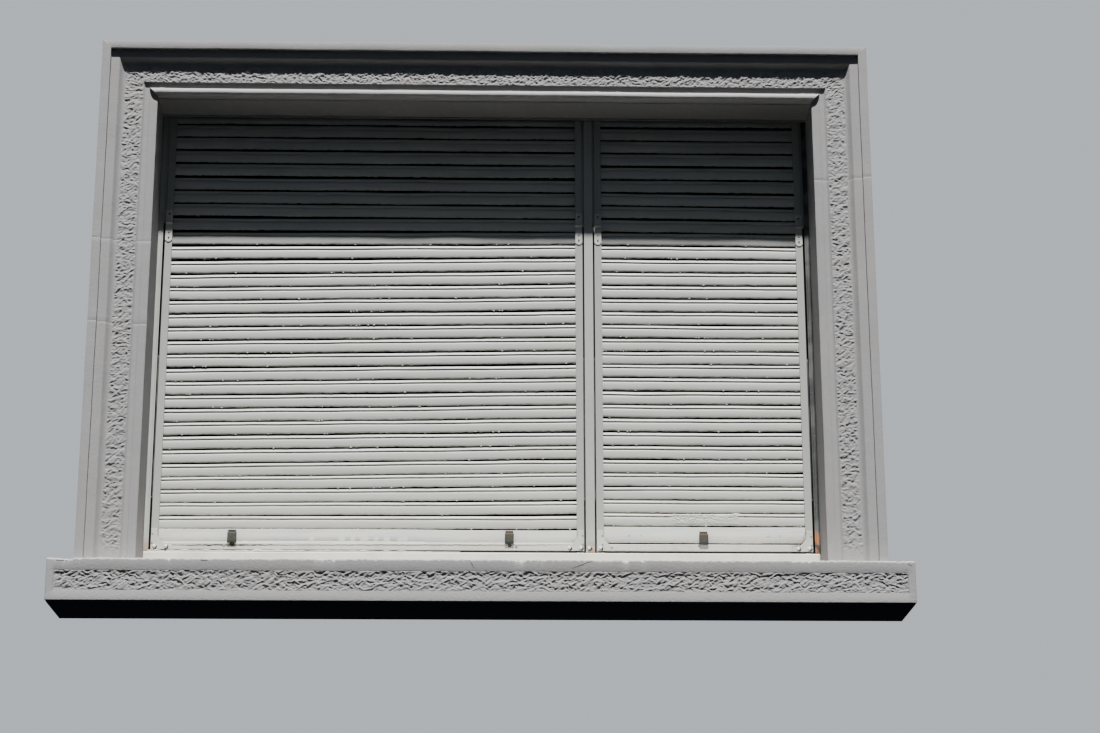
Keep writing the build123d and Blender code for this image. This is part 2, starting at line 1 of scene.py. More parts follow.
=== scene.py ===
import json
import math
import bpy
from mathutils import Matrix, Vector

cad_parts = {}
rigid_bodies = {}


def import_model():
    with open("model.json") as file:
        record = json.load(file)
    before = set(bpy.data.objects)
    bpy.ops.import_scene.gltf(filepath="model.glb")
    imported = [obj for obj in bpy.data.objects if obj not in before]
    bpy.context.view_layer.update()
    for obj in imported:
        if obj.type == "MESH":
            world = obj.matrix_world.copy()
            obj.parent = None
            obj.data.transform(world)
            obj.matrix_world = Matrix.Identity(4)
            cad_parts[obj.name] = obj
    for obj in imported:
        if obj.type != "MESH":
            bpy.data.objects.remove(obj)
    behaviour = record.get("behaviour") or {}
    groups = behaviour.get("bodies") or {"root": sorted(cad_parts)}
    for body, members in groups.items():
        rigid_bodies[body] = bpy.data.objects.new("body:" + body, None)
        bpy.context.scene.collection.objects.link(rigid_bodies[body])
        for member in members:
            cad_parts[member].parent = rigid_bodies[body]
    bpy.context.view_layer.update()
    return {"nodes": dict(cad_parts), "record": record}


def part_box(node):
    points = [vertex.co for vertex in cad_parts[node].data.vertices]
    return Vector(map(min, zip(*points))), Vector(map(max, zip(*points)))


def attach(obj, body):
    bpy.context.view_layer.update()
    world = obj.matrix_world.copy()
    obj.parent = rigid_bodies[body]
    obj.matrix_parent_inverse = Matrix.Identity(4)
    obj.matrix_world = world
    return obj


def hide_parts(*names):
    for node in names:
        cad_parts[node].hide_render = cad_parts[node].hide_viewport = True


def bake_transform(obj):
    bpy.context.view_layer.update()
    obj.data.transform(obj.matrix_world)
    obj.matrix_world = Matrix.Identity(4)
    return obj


bl_info = {
    "name": "Painted roller shutter in a stone surround",
    "version": (1, 0, 0),
    "blender": (4, 5, 0),
    "location": "View3D > Sidebar > Shutter",
    "description": "Stone surround, painted slats and fittings around a packed roller shutter",
    "category": "Object",
}

import bmesh
import bpy
from bpy.props import FloatProperty, FloatVectorProperty, IntProperty, PointerProperty
from mathutils import Matrix, Vector, noise

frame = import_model()
BLINDS = ("left", "right")
GUIDES = ("left_outer", "left_inner", "right_inner", "right_outer")
BODY_OF = {
    node: body for body, nodes in frame["record"]["behaviour"]["bodies"].items() for node in nodes
}


# Places and sizes taken from the frame


def low(node):
    """Lowest corner of a CAD node."""
    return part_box(node)[0]


def high(node):
    """Highest corner of a CAD node."""
    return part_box(node)[1]


HALF_TRIM = high("surround_head").x
TRIM_TOP = high("surround_head").z
SOFFIT = low("surround_head").z
TRIM_FRONT = low("surround_head").y
HEAD_BACK = high("surround_head").y
FRAME_BACK = high("surround_left_jamb").y
HALF_SILL = high("sill").x
SILL_FRONT = low("sill").y
GUIDE_FRONT = low("left_outer_swing_guide").y
HINGE = frame["record"]["behaviour"]["joints"][0]["pos_m"]
JAMB_SEAMS = {"left": (0.878, 1.150), "right": (1.372,)}
# Height of a slat over its true place, at some slats counted from the bottom
HANG = {
    "left": ((0, 0.0), (1.5, 0.0), (4, -0.0070), (18, -0.0125), (27, 0.0)),
    "right": ((0, 0.0135), (1, 0.0085), (3, 0.0050), (10, 0.0025), (18, -0.0050), (23, -0.0040), (27, 0.0)),
}


# Settings that a user would change


class SurroundSettings(bpy.types.PropertyGroup):
    """Sizes of the moulded stone."""

    fillet: FloatProperty(name="Fillet", description="Width of the outer fillet", default=0.027, unit="LENGTH")
    band: FloatProperty(name="Band", description="Width of the flat band", default=0.027, unit="LENGTH")
    band_depth: FloatProperty(name="Band depth", description="Band behind the fillet", default=0.012, unit="LENGTH")
    cove: FloatProperty(name="Cove", description="Width of the hollow moulding", default=0.018, unit="LENGTH")
    panel: FloatProperty(name="Panel", description="Width of the rough panel", default=0.058, unit="LENGTH")
    panel_depth: FloatProperty(
        name="Panel depth", description="Rough panel behind the fillet", default=0.030, unit="LENGTH"
    )
    quirk: FloatProperty(name="Quirk", description="Width of the sunk strip", default=0.020, unit="LENGTH")
    quirk_depth: FloatProperty(
        name="Quirk depth", description="Sunk strip behind the fillet", default=0.037, unit="LENGTH"
    )
    trim: FloatProperty(name="Trim", description="Whole width of the trim", default=0.177, unit="LENGTH")
    lining: FloatProperty(name="Lining", description="Thickness of the reveal", default=0.030, unit="LENGTH")
    relief: FloatProperty(name="Relief", description="Depth of the pecked relief", default=0.0042, unit="LENGTH")
    cell: FloatProperty(name="Cell", description="Mesh step on the rough panel", default=0.00165, unit="LENGTH")
    sill_panel_low: FloatProperty(
        name="Sill panel foot", description="Underside of the sill's rough panel", default=0.029, unit="LENGTH"
    )
    sill_panel_height: FloatProperty(
        name="Sill panel height", description="Height of the sill's rough panel", default=0.061, unit="LENGTH"
    )
    sill_margin: FloatProperty(
        name="Sill margin", description="Plain end of the sill's front", default=0.022, unit="LENGTH"
    )
    sill_depth: FloatProperty(
        name="Sill panel depth", description="Depth of the sill's panel", default=0.008, unit="LENGTH"
    )


class SlatSettings(bpy.types.PropertyGroup):
    """Sizes of the slats."""

    pitch: FloatProperty(name="Pitch", description="Height from slat to slat", default=0.0448, unit="LENGTH")
    thickness: FloatProperty(name="Thickness", description="Thickness of a slat", default=0.014, unit="LENGTH")
    face: FloatProperty(name="Face", description="Height of the flat face", default=0.0272, unit="LENGTH")
    wave: FloatProperty(name="Wave", description="How far a slat is warped", default=0.0017, unit="LENGTH")
    chip: FloatProperty(name="Chip", description="Depth of the broken lower edge", default=0.0014, unit="LENGTH")
    crust: FloatProperty(name="Crust", description="Swelling of paint on an edge", default=0.0007, unit="LENGTH")
    left_skew: FloatProperty(
        name="Left skew", description="Tilt of the left blind's slats", default=math.radians(0.9), unit="ROTATION"
    )
    right_skew: FloatProperty(
        name="Right skew", description="Tilt at the right blind's hinge", default=math.radians(-0.6), unit="ROTATION"
    )
    seed: IntProperty(name="Seed", description="Order of the random warps", default=7)


class FinishSettings(bpy.types.PropertyGroup):
    """Colours of the finishes."""

    stone: FloatVectorProperty(
        name="Stone", description="Painted stone", default=(0.315, 0.312, 0.312), subtype="COLOR"
    )
    slat: FloatVectorProperty(
        name="Slat paint", description="Paint on the slats", default=(0.550, 0.562, 0.520), subtype="COLOR"
    )
    guide: FloatVectorProperty(
        name="Guide paint", description="Paint on posts and guides", default=(0.455, 0.47, 0.435), subtype="COLOR"
    )
    rust: FloatVectorProperty(name="Rust", description="Rust stain", default=(0.23, 0.10, 0.04), subtype="COLOR")
    # Painted shade colour: darkens the slats' gaps and the sides of posts, guides and plates
    dirt: FloatVectorProperty(name="Painted shade", description="Dirt in joints", default=(0.014, 0.013, 0.012), subtype="COLOR")


class StageSettings(bpy.types.PropertyGroup):
    """Camera and light."""

    eye: FloatVectorProperty(
        name="Eye", description="Place of the camera", default=(-0.0018, -7.2395, -1.5144), unit="LENGTH"
    )
    pitch: FloatProperty(name="Pitch", description="Camera tilt upwards", default=0.3034, unit="ROTATION")
    yaw: FloatProperty(name="Yaw", description="Camera turn to the right", default=0.0283, unit="ROTATION")
    roll: FloatProperty(name="Roll", description="Camera roll", default=-0.0022, unit="ROTATION")
    lens: FloatProperty(name="Lens", description="Focal length in millimetres", default=80.51)
    sun_height: FloatProperty(
        name="Key height", description="Height of the key light", default=math.radians(67.8), unit="ROTATION"
    )
    sun_turn: FloatProperty(
        name="Key turn", description="Turn of the key light to the right", default=math.radians(1), unit="ROTATION"
    )
    sun_power: FloatProperty(name="Key power", description="Strength of the key light", default=10.5)
    sky_glow: FloatVectorProperty(
        name="Sky fill", description="Soft fill from above", default=(0.118, 0.136, 0.165), subtype="COLOR"
    )
    ground_glow: FloatVectorProperty(
        name="Ground fill", description="Soft fill from below", default=(0.004, 0.005, 0.008), subtype="COLOR"
    )
    background: FloatVectorProperty(
        name="Background", description="Plain background", default=(0.55, 0.60, 0.65), subtype="COLOR"
    )
    back_power: FloatProperty(name="Back light", description="Strength of the light from behind", default=1.4)
    floor_drop: FloatProperty(
        name="Floor drop", description="Floor below the camera", default=1.2, unit="LENGTH"
    )
    floor_reach: FloatProperty(
        name="Floor reach", description="Half width of the floor", default=30.0, unit="LENGTH"
    )


SETTINGS = {
    "surround_look": SurroundSettings,
    "slat_look": SlatSettings,
    "finish_look": FinishSettings,
    "stage_look": StageSettings,
}


# Node trees


def add_node(tree, kind, inputs=None, **settings):
    """A node with its settings, its input values and the links into it."""
    node = tree.nodes.new(kind)
    for key, value in settings.items():
        setattr(node, key, value)
    for key, value in (inputs or {}).items():
        if isinstance(value, bpy.types.NodeSocket):
            tree.links.new(value, node.inputs[key])
        else:
            node.inputs[key].default_value = value
    return node


def maths(tree, operation, first, second=0.0, clamp=False):
    """Output of a Math node."""
    node = add_node(tree, "ShaderNodeMath", {0: first, 1: second}, operation=operation, use_clamp=clamp)
    return node.outputs[0]


def group_with(kind, name, inputs, outputs):
    """A node group with its sockets, its input node and its output node."""
    tree = bpy.data.node_groups.new(name, kind)
    for socket, socket_type, default in inputs:
        made = tree.interface.new_socket(name=socket, in_out="INPUT", socket_type=socket_type)
        if default is not None:
            made.default_value = default
    for socket, socket_type in outputs:
        tree.interface.new_socket(name=socket, in_out="OUTPUT", socket_type=socket_type)
    return tree, tree.nodes.new("NodeGroupInput"), tree.nodes.new("NodeGroupOutput")


def fractal(tree, vector, scale, detail=4.0, roughness=0.55, distortion=0.0):
    """Noise from 0 to 1 at a scale."""
    node = add_node(
        tree,
        "ShaderNodeTexNoise",
        {"Vector": vector, "Scale": scale, "Detail": detail, "Roughness": roughness, "Distortion": distortion},
    )
    return node.outputs[0]


def steps(tree, value, start, end, first=0.0, last=1.0):
    """Value mapped from one range to another, held at the ends."""
    node = add_node(
        tree,
        "ShaderNodeMapRange",
        {0: value, 1: start, 2: end, 3: first, 4: last},
        interpolation_type="SMOOTHSTEP",
    )
    return node.outputs[0]


def blended(tree, factor, first, second):
    """Colour between two colours."""
    node = tree.nodes.new("ShaderNodeMix")
    node.data_type = "RGBA"
    for index, value in ((0, factor), (6, first), (7, second)):
        if isinstance(value, bpy.types.NodeSocket):
            tree.links.new(value, node.inputs[index])
        elif index:
            node.inputs[index].default_value = (*value[:3], 1.0)
        else:
            node.inputs[index].default_value = value
    return node.outputs[2]


def dirt_group():
    """Weathering shared by the painted finishes: soft stains, fine specks and a bump height."""
    name = "weathering"
    if name in bpy.data.node_groups:
        return bpy.data.node_groups[name]
    tree, entry, leave = group_with(
        "ShaderNodeTree",
        name,
        [
            ("Vector", "NodeSocketVector", None),
            ("Clean", "NodeSocketColor", (0.6, 0.6, 0.6, 1)),
            ("Stain", "NodeSocketColor", (0.3, 0.28, 0.25, 1)),
            ("Stain amount", "NodeSocketFloat", 0.4),
            ("Stain scale", "NodeSocketFloat", 6.0),
            ("Speck amount", "NodeSocketFloat", 0.3),
            ("Speck scale", "NodeSocketFloat", 220.0),
        ],
        [("Color", "NodeSocketColor"), ("Stain mask", "NodeSocketFloat"), ("Height", "NodeSocketFloat")],
    )
    vector = entry.outputs["Vector"]
    broad = fractal(tree, vector, entry.outputs["Stain scale"], 5.0, 0.6, 0.4)
    stain = maths(tree, "MULTIPLY", steps(tree, broad, 0.42, 0.72), entry.outputs["Stain amount"])
    fine = fractal(tree, vector, entry.outputs["Speck scale"], 3.0, 0.6)
    speck = maths(tree, "MULTIPLY", steps(tree, fine, 0.60, 0.72), entry.outputs["Speck amount"])
    both = maths(tree, "MAXIMUM", stain, speck, clamp=True)
    colour = blended(tree, both, entry.outputs["Clean"], entry.outputs["Stain"])
    tree.links.new(colour, leave.inputs["Color"])
    tree.links.new(both, leave.inputs["Stain mask"])
    tree.links.new(fine, leave.inputs["Height"])
    return tree


def new_material(name):
    """A material with its tree, its surface shader and Object coordinates."""
    material = bpy.data.materials.new(name)
    material.use_nodes = True
    tree = material.node_tree
    shader = tree.nodes["Principled BSDF"]
    place = tree.nodes.new("ShaderNodeTexCoord").outputs["Object"]
    return material, tree, shader, place


def stretched(tree, vector, scale):
    """Coordinates scaled along each axis."""
    node = add_node(tree, "ShaderNodeMapping", {"Vector": vector})
    node.inputs["Scale"].default_value = scale
    return node.outputs[0]


def bump(tree, shader, height, distance, strength=1.0):
    """Bump from a height in metres into the shader's normal."""
    node = add_node(tree, "ShaderNodeBump", {"Height": height, "Distance": distance, "Strength": strength})
    tree.links.new(node.outputs[0], shader.inputs["Normal"])


def attribute(tree, name):
    """A piece's own attribute, as a number."""
    return add_node(tree, "ShaderNodeAttribute", attribute_name=name).outputs["Fac"]


def axis_of(tree, vector, index):
    """One coordinate of a vector."""
    return add_node(tree, "ShaderNodeSeparateXYZ", {0: vector}).outputs[index]


def stone_material(colours, name="painted_stone"):
    """Old paint on stone, with painted shade in its pits and on its sides and undersides, a painted highlight on the
    head's bead, creamy along the sill's edge.
    """
    material, tree, shader, place = new_material(name)
    group = add_node(tree, "ShaderNodeGroup", node_tree=dirt_group())
    tree.links.new(place, group.inputs["Vector"])
    group.inputs["Clean"].default_value = (*colours.stone, 1)
    group.inputs["Stain"].default_value = (0.335, 0.305, 0.29, 1)
    group.inputs["Stain amount"].default_value = 0.45
    group.inputs["Stain scale"].default_value = 4.5
    group.inputs["Speck amount"].default_value = 0.25
    group.inputs["Speck scale"].default_value = 260.0
    # Painted shade: darker in the pecked pits, by the slab's pit strength
    pit_shade = maths(tree, "MULTIPLY", attribute(tree, "pit_shade"), 0.55, clamp=True)
    colour = blended(tree, pit_shade, group.outputs["Color"], (0.13, 0.127, 0.123))
    # Painted highlight along the head's bead; lighter on the sill's lower band and underside
    pale = maths(tree, "MULTIPLY", attribute(tree, "pale"), 0.9, clamp=True)
    colour = blended(tree, pale, colour, (0.50, 0.495, 0.485))
    crumbs = fractal(tree, stretched(tree, place, (70, 70, 150)), 1.0, 4.0, 0.6)
    rim = maths(tree, "ADD", attribute(tree, "cream"), maths(tree, "MULTIPLY", crumbs, 0.62))
    colour = blended(tree, steps(tree, rim, 1.14, 1.26, 0.0, 0.85), colour, (0.66, 0.635, 0.58))
    colour = blended(tree, attribute(tree, "joint"), colour, (0.52, 0.51, 0.50))
    runs = fractal(tree, stretched(tree, place, (26, 26, 2.2)), 1.0, 4.0, 0.6)
    colour = blended(tree, steps(tree, runs, 0.52, 0.78, 0.0, 0.24), colour, (0.27, 0.25, 0.24))
    # Painted shade: faces turned sideways or downwards, the reveals and the soffit, darkened towards a cool shade
    # colour
    facing = add_node(tree, "ShaderNodeNewGeometry").outputs["Normal"]
    under = maths(tree, "MULTIPLY", axis_of(tree, facing, 2), -1.0)
    turned = maths(tree, "MAXIMUM", maths(tree, "ABSOLUTE", axis_of(tree, facing, 0)), under)
    colour = blended(tree, steps(tree, turned, 0.80, 0.98, 0.0, 0.42), colour, (0.092, 0.096, 0.118))
    mottle = fractal(tree, place, 55.0, 4.0, 0.6)
    colour = blended(tree, steps(tree, mottle, 0.54, 0.70, 0.0, 0.16), colour, (0.44, 0.44, 0.44))
    tree.links.new(colour, shader.inputs["Base Color"])
    shader.inputs["Roughness"].default_value = 0.85
    shader.inputs["Specular IOR Level"].default_value = 0.3
    bump(tree, shader, fractal(tree, place, 170.0, 5.0, 0.65), 0.0014, 0.7)
    return material


def slat_material(colours, name, tinted=False):
    """Brushed paint on slats, with painted shade in the gaps, grooves and hollows, and crumbling at the lips."""
    material, tree, shader, place = new_material(name)
    group = add_node(tree, "ShaderNodeGroup", node_tree=dirt_group())
    along = stretched(tree, place, (1.0, 4.0, 9.0))
    tree.links.new(along, group.inputs["Vector"])
    clean = [min(1.0, channel * (1.36 if tinted else 1.0)) for channel in colours.slat]
    group.inputs["Clean"].default_value = (*clean, 1)
    group.inputs["Stain"].default_value = (0.46, 0.43, 0.39, 1) if tinted else (0.41, 0.40, 0.365, 1)
    group.inputs["Stain amount"].default_value = 0.42
    group.inputs["Stain scale"].default_value = 3.2
    group.inputs["Speck amount"].default_value = 0.20
    group.inputs["Speck scale"].default_value = 60.0
    colour = group.outputs["Color"]
    if tinted:
        blue = fractal(tree, stretched(tree, place, (6, 6, 50)), 1.0, 3.0, 0.5)
        colour = blended(tree, steps(tree, blue, 0.50, 0.66, 0.0, 0.6), colour, (0.66, 0.70, 0.78))
        pink = fractal(tree, stretched(tree, place, (4, 4, 30)), 1.3, 3.0, 0.5)
        colour = blended(tree, steps(tree, pink, 0.54, 0.70, 0.0, 0.5), colour, (0.76, 0.65, 0.58))
    shade = steps(tree, attribute(tree, "shade"), 0.0, 1.0, 0.0, 0.30)
    colour = blended(tree, shade, colour, (0.46, 0.465, 0.435))
    streak = fractal(tree, stretched(tree, place, (7, 60, 240)), 1.0, 4.0, 0.6)
    colour = blended(tree, steps(tree, streak, 0.54, 0.75, 0.0, 0.30), colour, (0.36, 0.35, 0.315))
    worn = maths(tree, "MULTIPLY", attribute(tree, "ragged"), steps(tree, fractal(tree, place, 90.0), 0.5, 0.62))
    colour = blended(tree, maths(tree, "MULTIPLY", worn, 0.35), colour, (0.22, 0.20, 0.17))
    # Painted shade: gaps, grooves and hollows darkened towards near black, without sheen
    sunk = steps(tree, attribute(tree, "recess"), 0.25, 0.85)
    colour = blended(tree, sunk, colour, [0.35 * channel for channel in colours.dirt])
    tree.links.new(colour, shader.inputs["Base Color"])
    gloss = steps(tree, group.outputs["Stain mask"], 0.0, 0.6, 0.42, 0.62)
    tree.links.new(gloss, shader.inputs["Roughness"])
    tree.links.new(steps(tree, sunk, 0.0, 0.5, 0.45, 0.0), shader.inputs["Specular IOR Level"])
    bump(tree, shader, streak, 0.0006, 0.5)
    return material


def frame_material(colours, name, colour, rust_height=0.0, warmth=0.0, rust=None):
    """Old paint on posts, guides and plates: painted shade on the sides, rust that creeps up, stains of primer."""
    material, tree, shader, place = new_material(name)
    group = add_node(tree, "ShaderNodeGroup", node_tree=dirt_group())
    tree.links.new(place, group.inputs["Vector"])
    group.inputs["Clean"].default_value = (*colour, 1)
    group.inputs["Stain"].default_value = (0.33, 0.335, 0.31, 1)
    group.inputs["Stain amount"].default_value = 0.4
    group.inputs["Stain scale"].default_value = 11.0
    group.inputs["Speck amount"].default_value = 0.35
    group.inputs["Speck scale"].default_value = 150.0
    shown = group.outputs["Color"]
    if warmth:
        primer = steps(tree, fractal(tree, stretched(tree, place, (5, 5, 26)), 1.0, 4.0, 0.6), 0.46, 0.66)
        shown = blended(tree, maths(tree, "MULTIPLY", primer, warmth), shown, (0.60, 0.475, 0.40))
    # Painted shade: faces turned sideways are darkened almost to the shade colour
    facing = add_node(tree, "ShaderNodeNewGeometry").outputs["Normal"]
    side = steps(tree, maths(tree, "ABSOLUTE", axis_of(tree, facing, 0)), 0.75, 0.97, 0.0, 0.88)
    shown = blended(tree, side, shown, colours.dirt)
    if rust_height:
        start, end = (0.36, 0.50) if rust else (0.50, 0.64)
        blot = steps(tree, fractal(tree, place, 38.0, 5.0, 0.65), start, end)
        foot = steps(tree, axis_of(tree, place, 2), rust_height, rust_height - 0.045)
        stain = maths(tree, "MULTIPLY", maths(tree, "MULTIPLY", blot, foot), 0.9)
        shown = blended(tree, stain, shown, rust or colours.rust)
    tree.links.new(shown, shader.inputs["Base Color"])
    shader.inputs["Roughness"].default_value = 0.55
    bump(tree, shader, fractal(tree, place, 120.0, 4.0, 0.6), 0.0006, 0.5)
    return material


def metal_material(name, colour, rust, amount):
    """Bare metal, dulled and rusting."""
    material, tree, shader, place = new_material(name)
    patch = fractal(tree, place, 45.0, 5.0, 0.65, 0.3)
    mask = steps(tree, patch, 0.46, 0.66, 0.0, amount)
    tree.links.new(blended(tree, mask, colour, rust), shader.inputs["Base Color"])
    tree.links.new(steps(tree, mask, 0.0, 1.0, 0.38, 0.85), shader.inputs["Roughness"])
    tree.links.new(steps(tree, mask, 0.0, 1.0, 0.9, 0.1), shader.inputs["Metallic"])
    bump(tree, shader, patch, 0.0005, 0.6)
    return material


def board_material():
    """Bare softwood boards with long grain."""
    material, tree, shader, place = new_material("box_board")
    wavy = add_node(
        tree,
        "ShaderNodeTexWave",
        {
            "Vector": stretched(tree, place, (1.2, 9.0, 9.0)),
            "Scale": 2.6,
            "Distortion": 7.0,
            "Detail": 4.0,
            "Detail Scale": 1.4,
        },
        bands_direction="Z",
    )
    colour = blended(tree, wavy.outputs["Fac"], (0.44, 0.31, 0.18), (0.60, 0.46, 0.29))
    grey = steps(tree, fractal(tree, place, 5.0, 5.0, 0.6), 0.45, 0.75, 0.0, 0.6)
    tree.links.new(blended(tree, grey, colour, (0.30, 0.27, 0.23)), shader.inputs["Base Color"])
    shader.inputs["Roughness"].default_value = 0.78
    bump(tree, shader, wavy.outputs["Fac"], 0.0006, 0.4)
    return material


def rubber_material(name, colour, brown):
    """Weathered grey block, brown along its top."""
    material, tree, shader, place = new_material(name)
    mottle = fractal(tree, place, 110.0, 4.0, 0.65)
    tone = blended(tree, steps(tree, mottle, 0.35, 0.70), colour, [0.62 * channel for channel in colour])
    rim = steps(tree, axis_of(tree, place, 2), 0.247, 0.262)
    right = steps(tree, axis_of(tree, place, 0), -0.4, 0.0)
    tone = blended(tree, maths(tree, "MULTIPLY", rim, right), tone, brown)
    tree.links.new(tone, shader.inputs["Base Color"])
    shader.inputs["Roughness"].default_value = 0.8
    bump(tree, shader, mottle, 0.0008, 0.6)
    return material


def dirt_and_shade_material(name, colour):
    """Dull dirt in cracks and round the bolts, and painted shade and shadow in gaps, holes and beside the bolts."""
    material, tree, shader, place = new_material(name)
    tone = fractal(tree, place, 160.0, 3.0, 0.6)
    paler = [1.5 * channel + 0.004 for channel in colour]
    tree.links.new(blended(tree, steps(tree, tone, 0.35, 0.70), colour, paler), shader.inputs["Base Color"])
    shader.inputs["Roughness"].default_value = 1.0
    shader.inputs["Specular IOR Level"].default_value = 0.08
    return material


def plain_material(name, colour, roughness):
    """Plain stage material."""
    material, tree, shader, place = new_material(name)
    tone = fractal(tree, place, 0.6, 2.0, 0.5)
    tree.links.new(
        blended(tree, tone, colour, [0.97 * channel for channel in colour]), shader.inputs["Base Color"]
    )
    shader.inputs["Roughness"].default_value = roughness
    return material


def material(name):
    """A finished material by name, made once."""
    if name in bpy.data.materials:
        return bpy.data.materials[name]
    colours = bpy.context.scene.finish_look
    makers = {
        "painted_stone": lambda: stone_material(colours),
        "worn_slats": lambda: slat_material(colours, "worn_slats"),
        "worn_bottom_slats": lambda: slat_material(colours, "worn_bottom_slats", True),
        "post_paint": lambda: frame_material(colours, "post_paint", colours.guide, 0.250, 0.0, (0.34, 0.20, 0.135)),
        "shaded_post_paint": lambda: frame_material(
            colours, "shaded_post_paint", (0.046, 0.052, 0.048), 0.285, 0.0, (0.50, 0.17, 0.05)
        ),
        "worn_guides": lambda: frame_material(colours, "worn_guides", [0.87 * channel for channel in colours.guide], 0.235),
        "rail_paint": lambda: frame_material(colours, "rail_paint", (0.62, 0.61, 0.56), 0.0, 0.45),
        "plate_paint": lambda: frame_material(colours, "plate_paint", (0.58, 0.585, 0.545), 0.222),
        # Stay arms painted near black as the shade in the gap beside the guides
        "stay_paint": lambda: frame_material(colours, "stay_paint", (0.035, 0.036, 0.034)),
        # Whitish bolt paint, brightened as a painted highlight on the domes
        "bolt_paint_and_highlight": lambda: plain_material("bolt_paint_and_highlight", (0.86, 0.85, 0.81), 0.5),
        "threshold_paint": lambda: frame_material(colours, "threshold_paint", (0.80, 0.765, 0.69), 0.0, 0.25),
        # Near-black painted shade for gaps, the strips behind them and screw holes
        "dark_strip": lambda: dirt_and_shade_material("dark_strip", (0.02, 0.02, 0.019)),
        "rubbed_dirt": lambda: dirt_and_shade_material("rubbed_dirt", (0.13, 0.125, 0.11)),
        "crack_dirt": lambda: dirt_and_shade_material("crack_dirt", (0.06, 0.057, 0.052)),
        "brown_dirt": lambda: dirt_and_shade_material("brown_dirt", (0.10, 0.072, 0.045)),
        "rusty_dirt": lambda: dirt_and_shade_material("rusty_dirt", (0.22, 0.15, 0.10)),
        "box_board": board_material,
        "dull_steel": lambda: metal_material("dull_steel", (0.34, 0.33, 0.31), colours.rust, 0.5),
        "rusty_steel": lambda: metal_material("rusty_steel", (0.26, 0.25, 0.24), colours.rust, 0.9),
        "zinc": lambda: metal_material("zinc", (0.52, 0.53, 0.53), (0.35, 0.33, 0.30), 0.5),
        "weathered_block": lambda: rubber_material("weathered_block", (0.044, 0.046, 0.038), (0.078, 0.050, 0.027)),
        "stage_floor": lambda: plain_material("stage_floor", (0.62, 0.62, 0.61), 0.9),
    }
    return makers[name]()


# Meshes


def mesh_piece(name, vertices, faces, material_name, body, attributes=None, smooth=True):
    """A finished mesh that rides on a body, with its place in its vertices."""
    mesh = bpy.data.meshes.new(name)
    mesh.from_pydata([tuple(vertex) for vertex in vertices], [], faces)
    for key, values in (attributes or {}).items():
        layer = mesh.attributes.new(key, "FLOAT", "POINT")
        layer.data.foreach_set("value", values)
    mesh.materials.append(material(material_name))
    mesh.polygons.foreach_set("use_smooth", [smooth] * len(mesh.polygons))
    mesh.update()
    piece = bpy.data.objects.new(name, mesh)
    bpy.context.scene.collection.objects.link(piece)
    if body:
        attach(piece, body)
    return piece


def sharpen(piece, angle=0.6):
    """Keep a smooth mesh crisp where faces meet at more than an angle."""
    piece.data.set_sharp_from_angle(angle=angle)


def rounded(points, radius, cuts=3):
    """A closed outline with every corner eased."""
    eased = []
    for index, corner in enumerate(points):
        before = Vector(points[index - 1])
        here = Vector(corner)
        after = Vector(points[(index + 1) % len(points)])
        into, out = before - here, after - here
        reach = min(radius, into.length * 0.45, out.length * 0.45)
        start, end = here + into.normalized() * reach, here + out.normalized() * reach
        for cut in range(cuts + 1):
            share = cut / cuts
            eased.append(start * (1 - share) ** 2 + here * 2 * share * (1 - share) + end * share**2)
    return eased


def arc(centre, radius, start, end, cuts):
    """Points on an arc, angles in degrees."""
    angles = [math.radians(start + (end - start) * cut / cuts) for cut in range(cuts + 1)]
    return [(centre[0] + radius * math.cos(a), centre[1] + radius * math.sin(a)) for a in angles]


def loft(rings, closed_ends=True):
    """Vertices and quads through rings of equal size."""
    count = len(rings[0])
    vertices = [vertex for ring in rings for vertex in ring]
    faces = []
    for row in range(len(rings) - 1):
        for column in range(count):
            after = (column + 1) % count
            faces.append(
                (row * count + column, row * count + after, (row + 1) * count + after, (row + 1) * count + column)
            )
    if closed_ends:
        faces.append(tuple(reversed(range(count))))
        faces.append(tuple(range((len(rings) - 1) * count, len(rings) * count)))
    return vertices, faces


def outward(piece):
    """Turn every face outwards."""
    work = bmesh.new()
    work.from_mesh(piece.data)
    bmesh.ops.recalc_face_normals(work, faces=work.faces)
    work.to_mesh(piece.data)
    work.free()
    piece.data.update()
    return piece


def eased_copy(node, width, material_name, shortest=0.012):
    """A CAD piece with its long edges eased, which stands for its node."""
    work = bmesh.new()
    work.from_mesh(frame["nodes"][node].data)
    bmesh.ops.remove_doubles(work, verts=work.verts, dist=1e-6)
    bmesh.ops.dissolve_limit(work, angle_limit=math.radians(1), verts=work.verts, edges=work.edges)
    edges = [
        edge
        for edge in work.edges
        if len(edge.link_faces) == 2
        and edge.calc_length() > shortest
        and edge.calc_face_angle(0.0) > math.radians(35)
    ]
    bmesh.ops.bevel(work, geom=edges, offset=width, segments=2, profile=0.5, affect="EDGES")
    bmesh.ops.recalc_face_normals(work, faces=work.faces)
    mesh = bpy.data.meshes.new(f"{node}_painted")
    work.to_mesh(mesh)
    work.free()
    mesh.materials.clear()
    mesh.materials.append(material(material_name))
    piece = bpy.data.objects.new(f"{node}_painted", mesh)
    bpy.context.scene.collection.objects.link(piece)
    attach(piece, BODY_OF[node])
    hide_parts(node)
    return piece


# Room that the barrel's corners need to turn beside the hangers
BARREL_ROOM = 0.0036


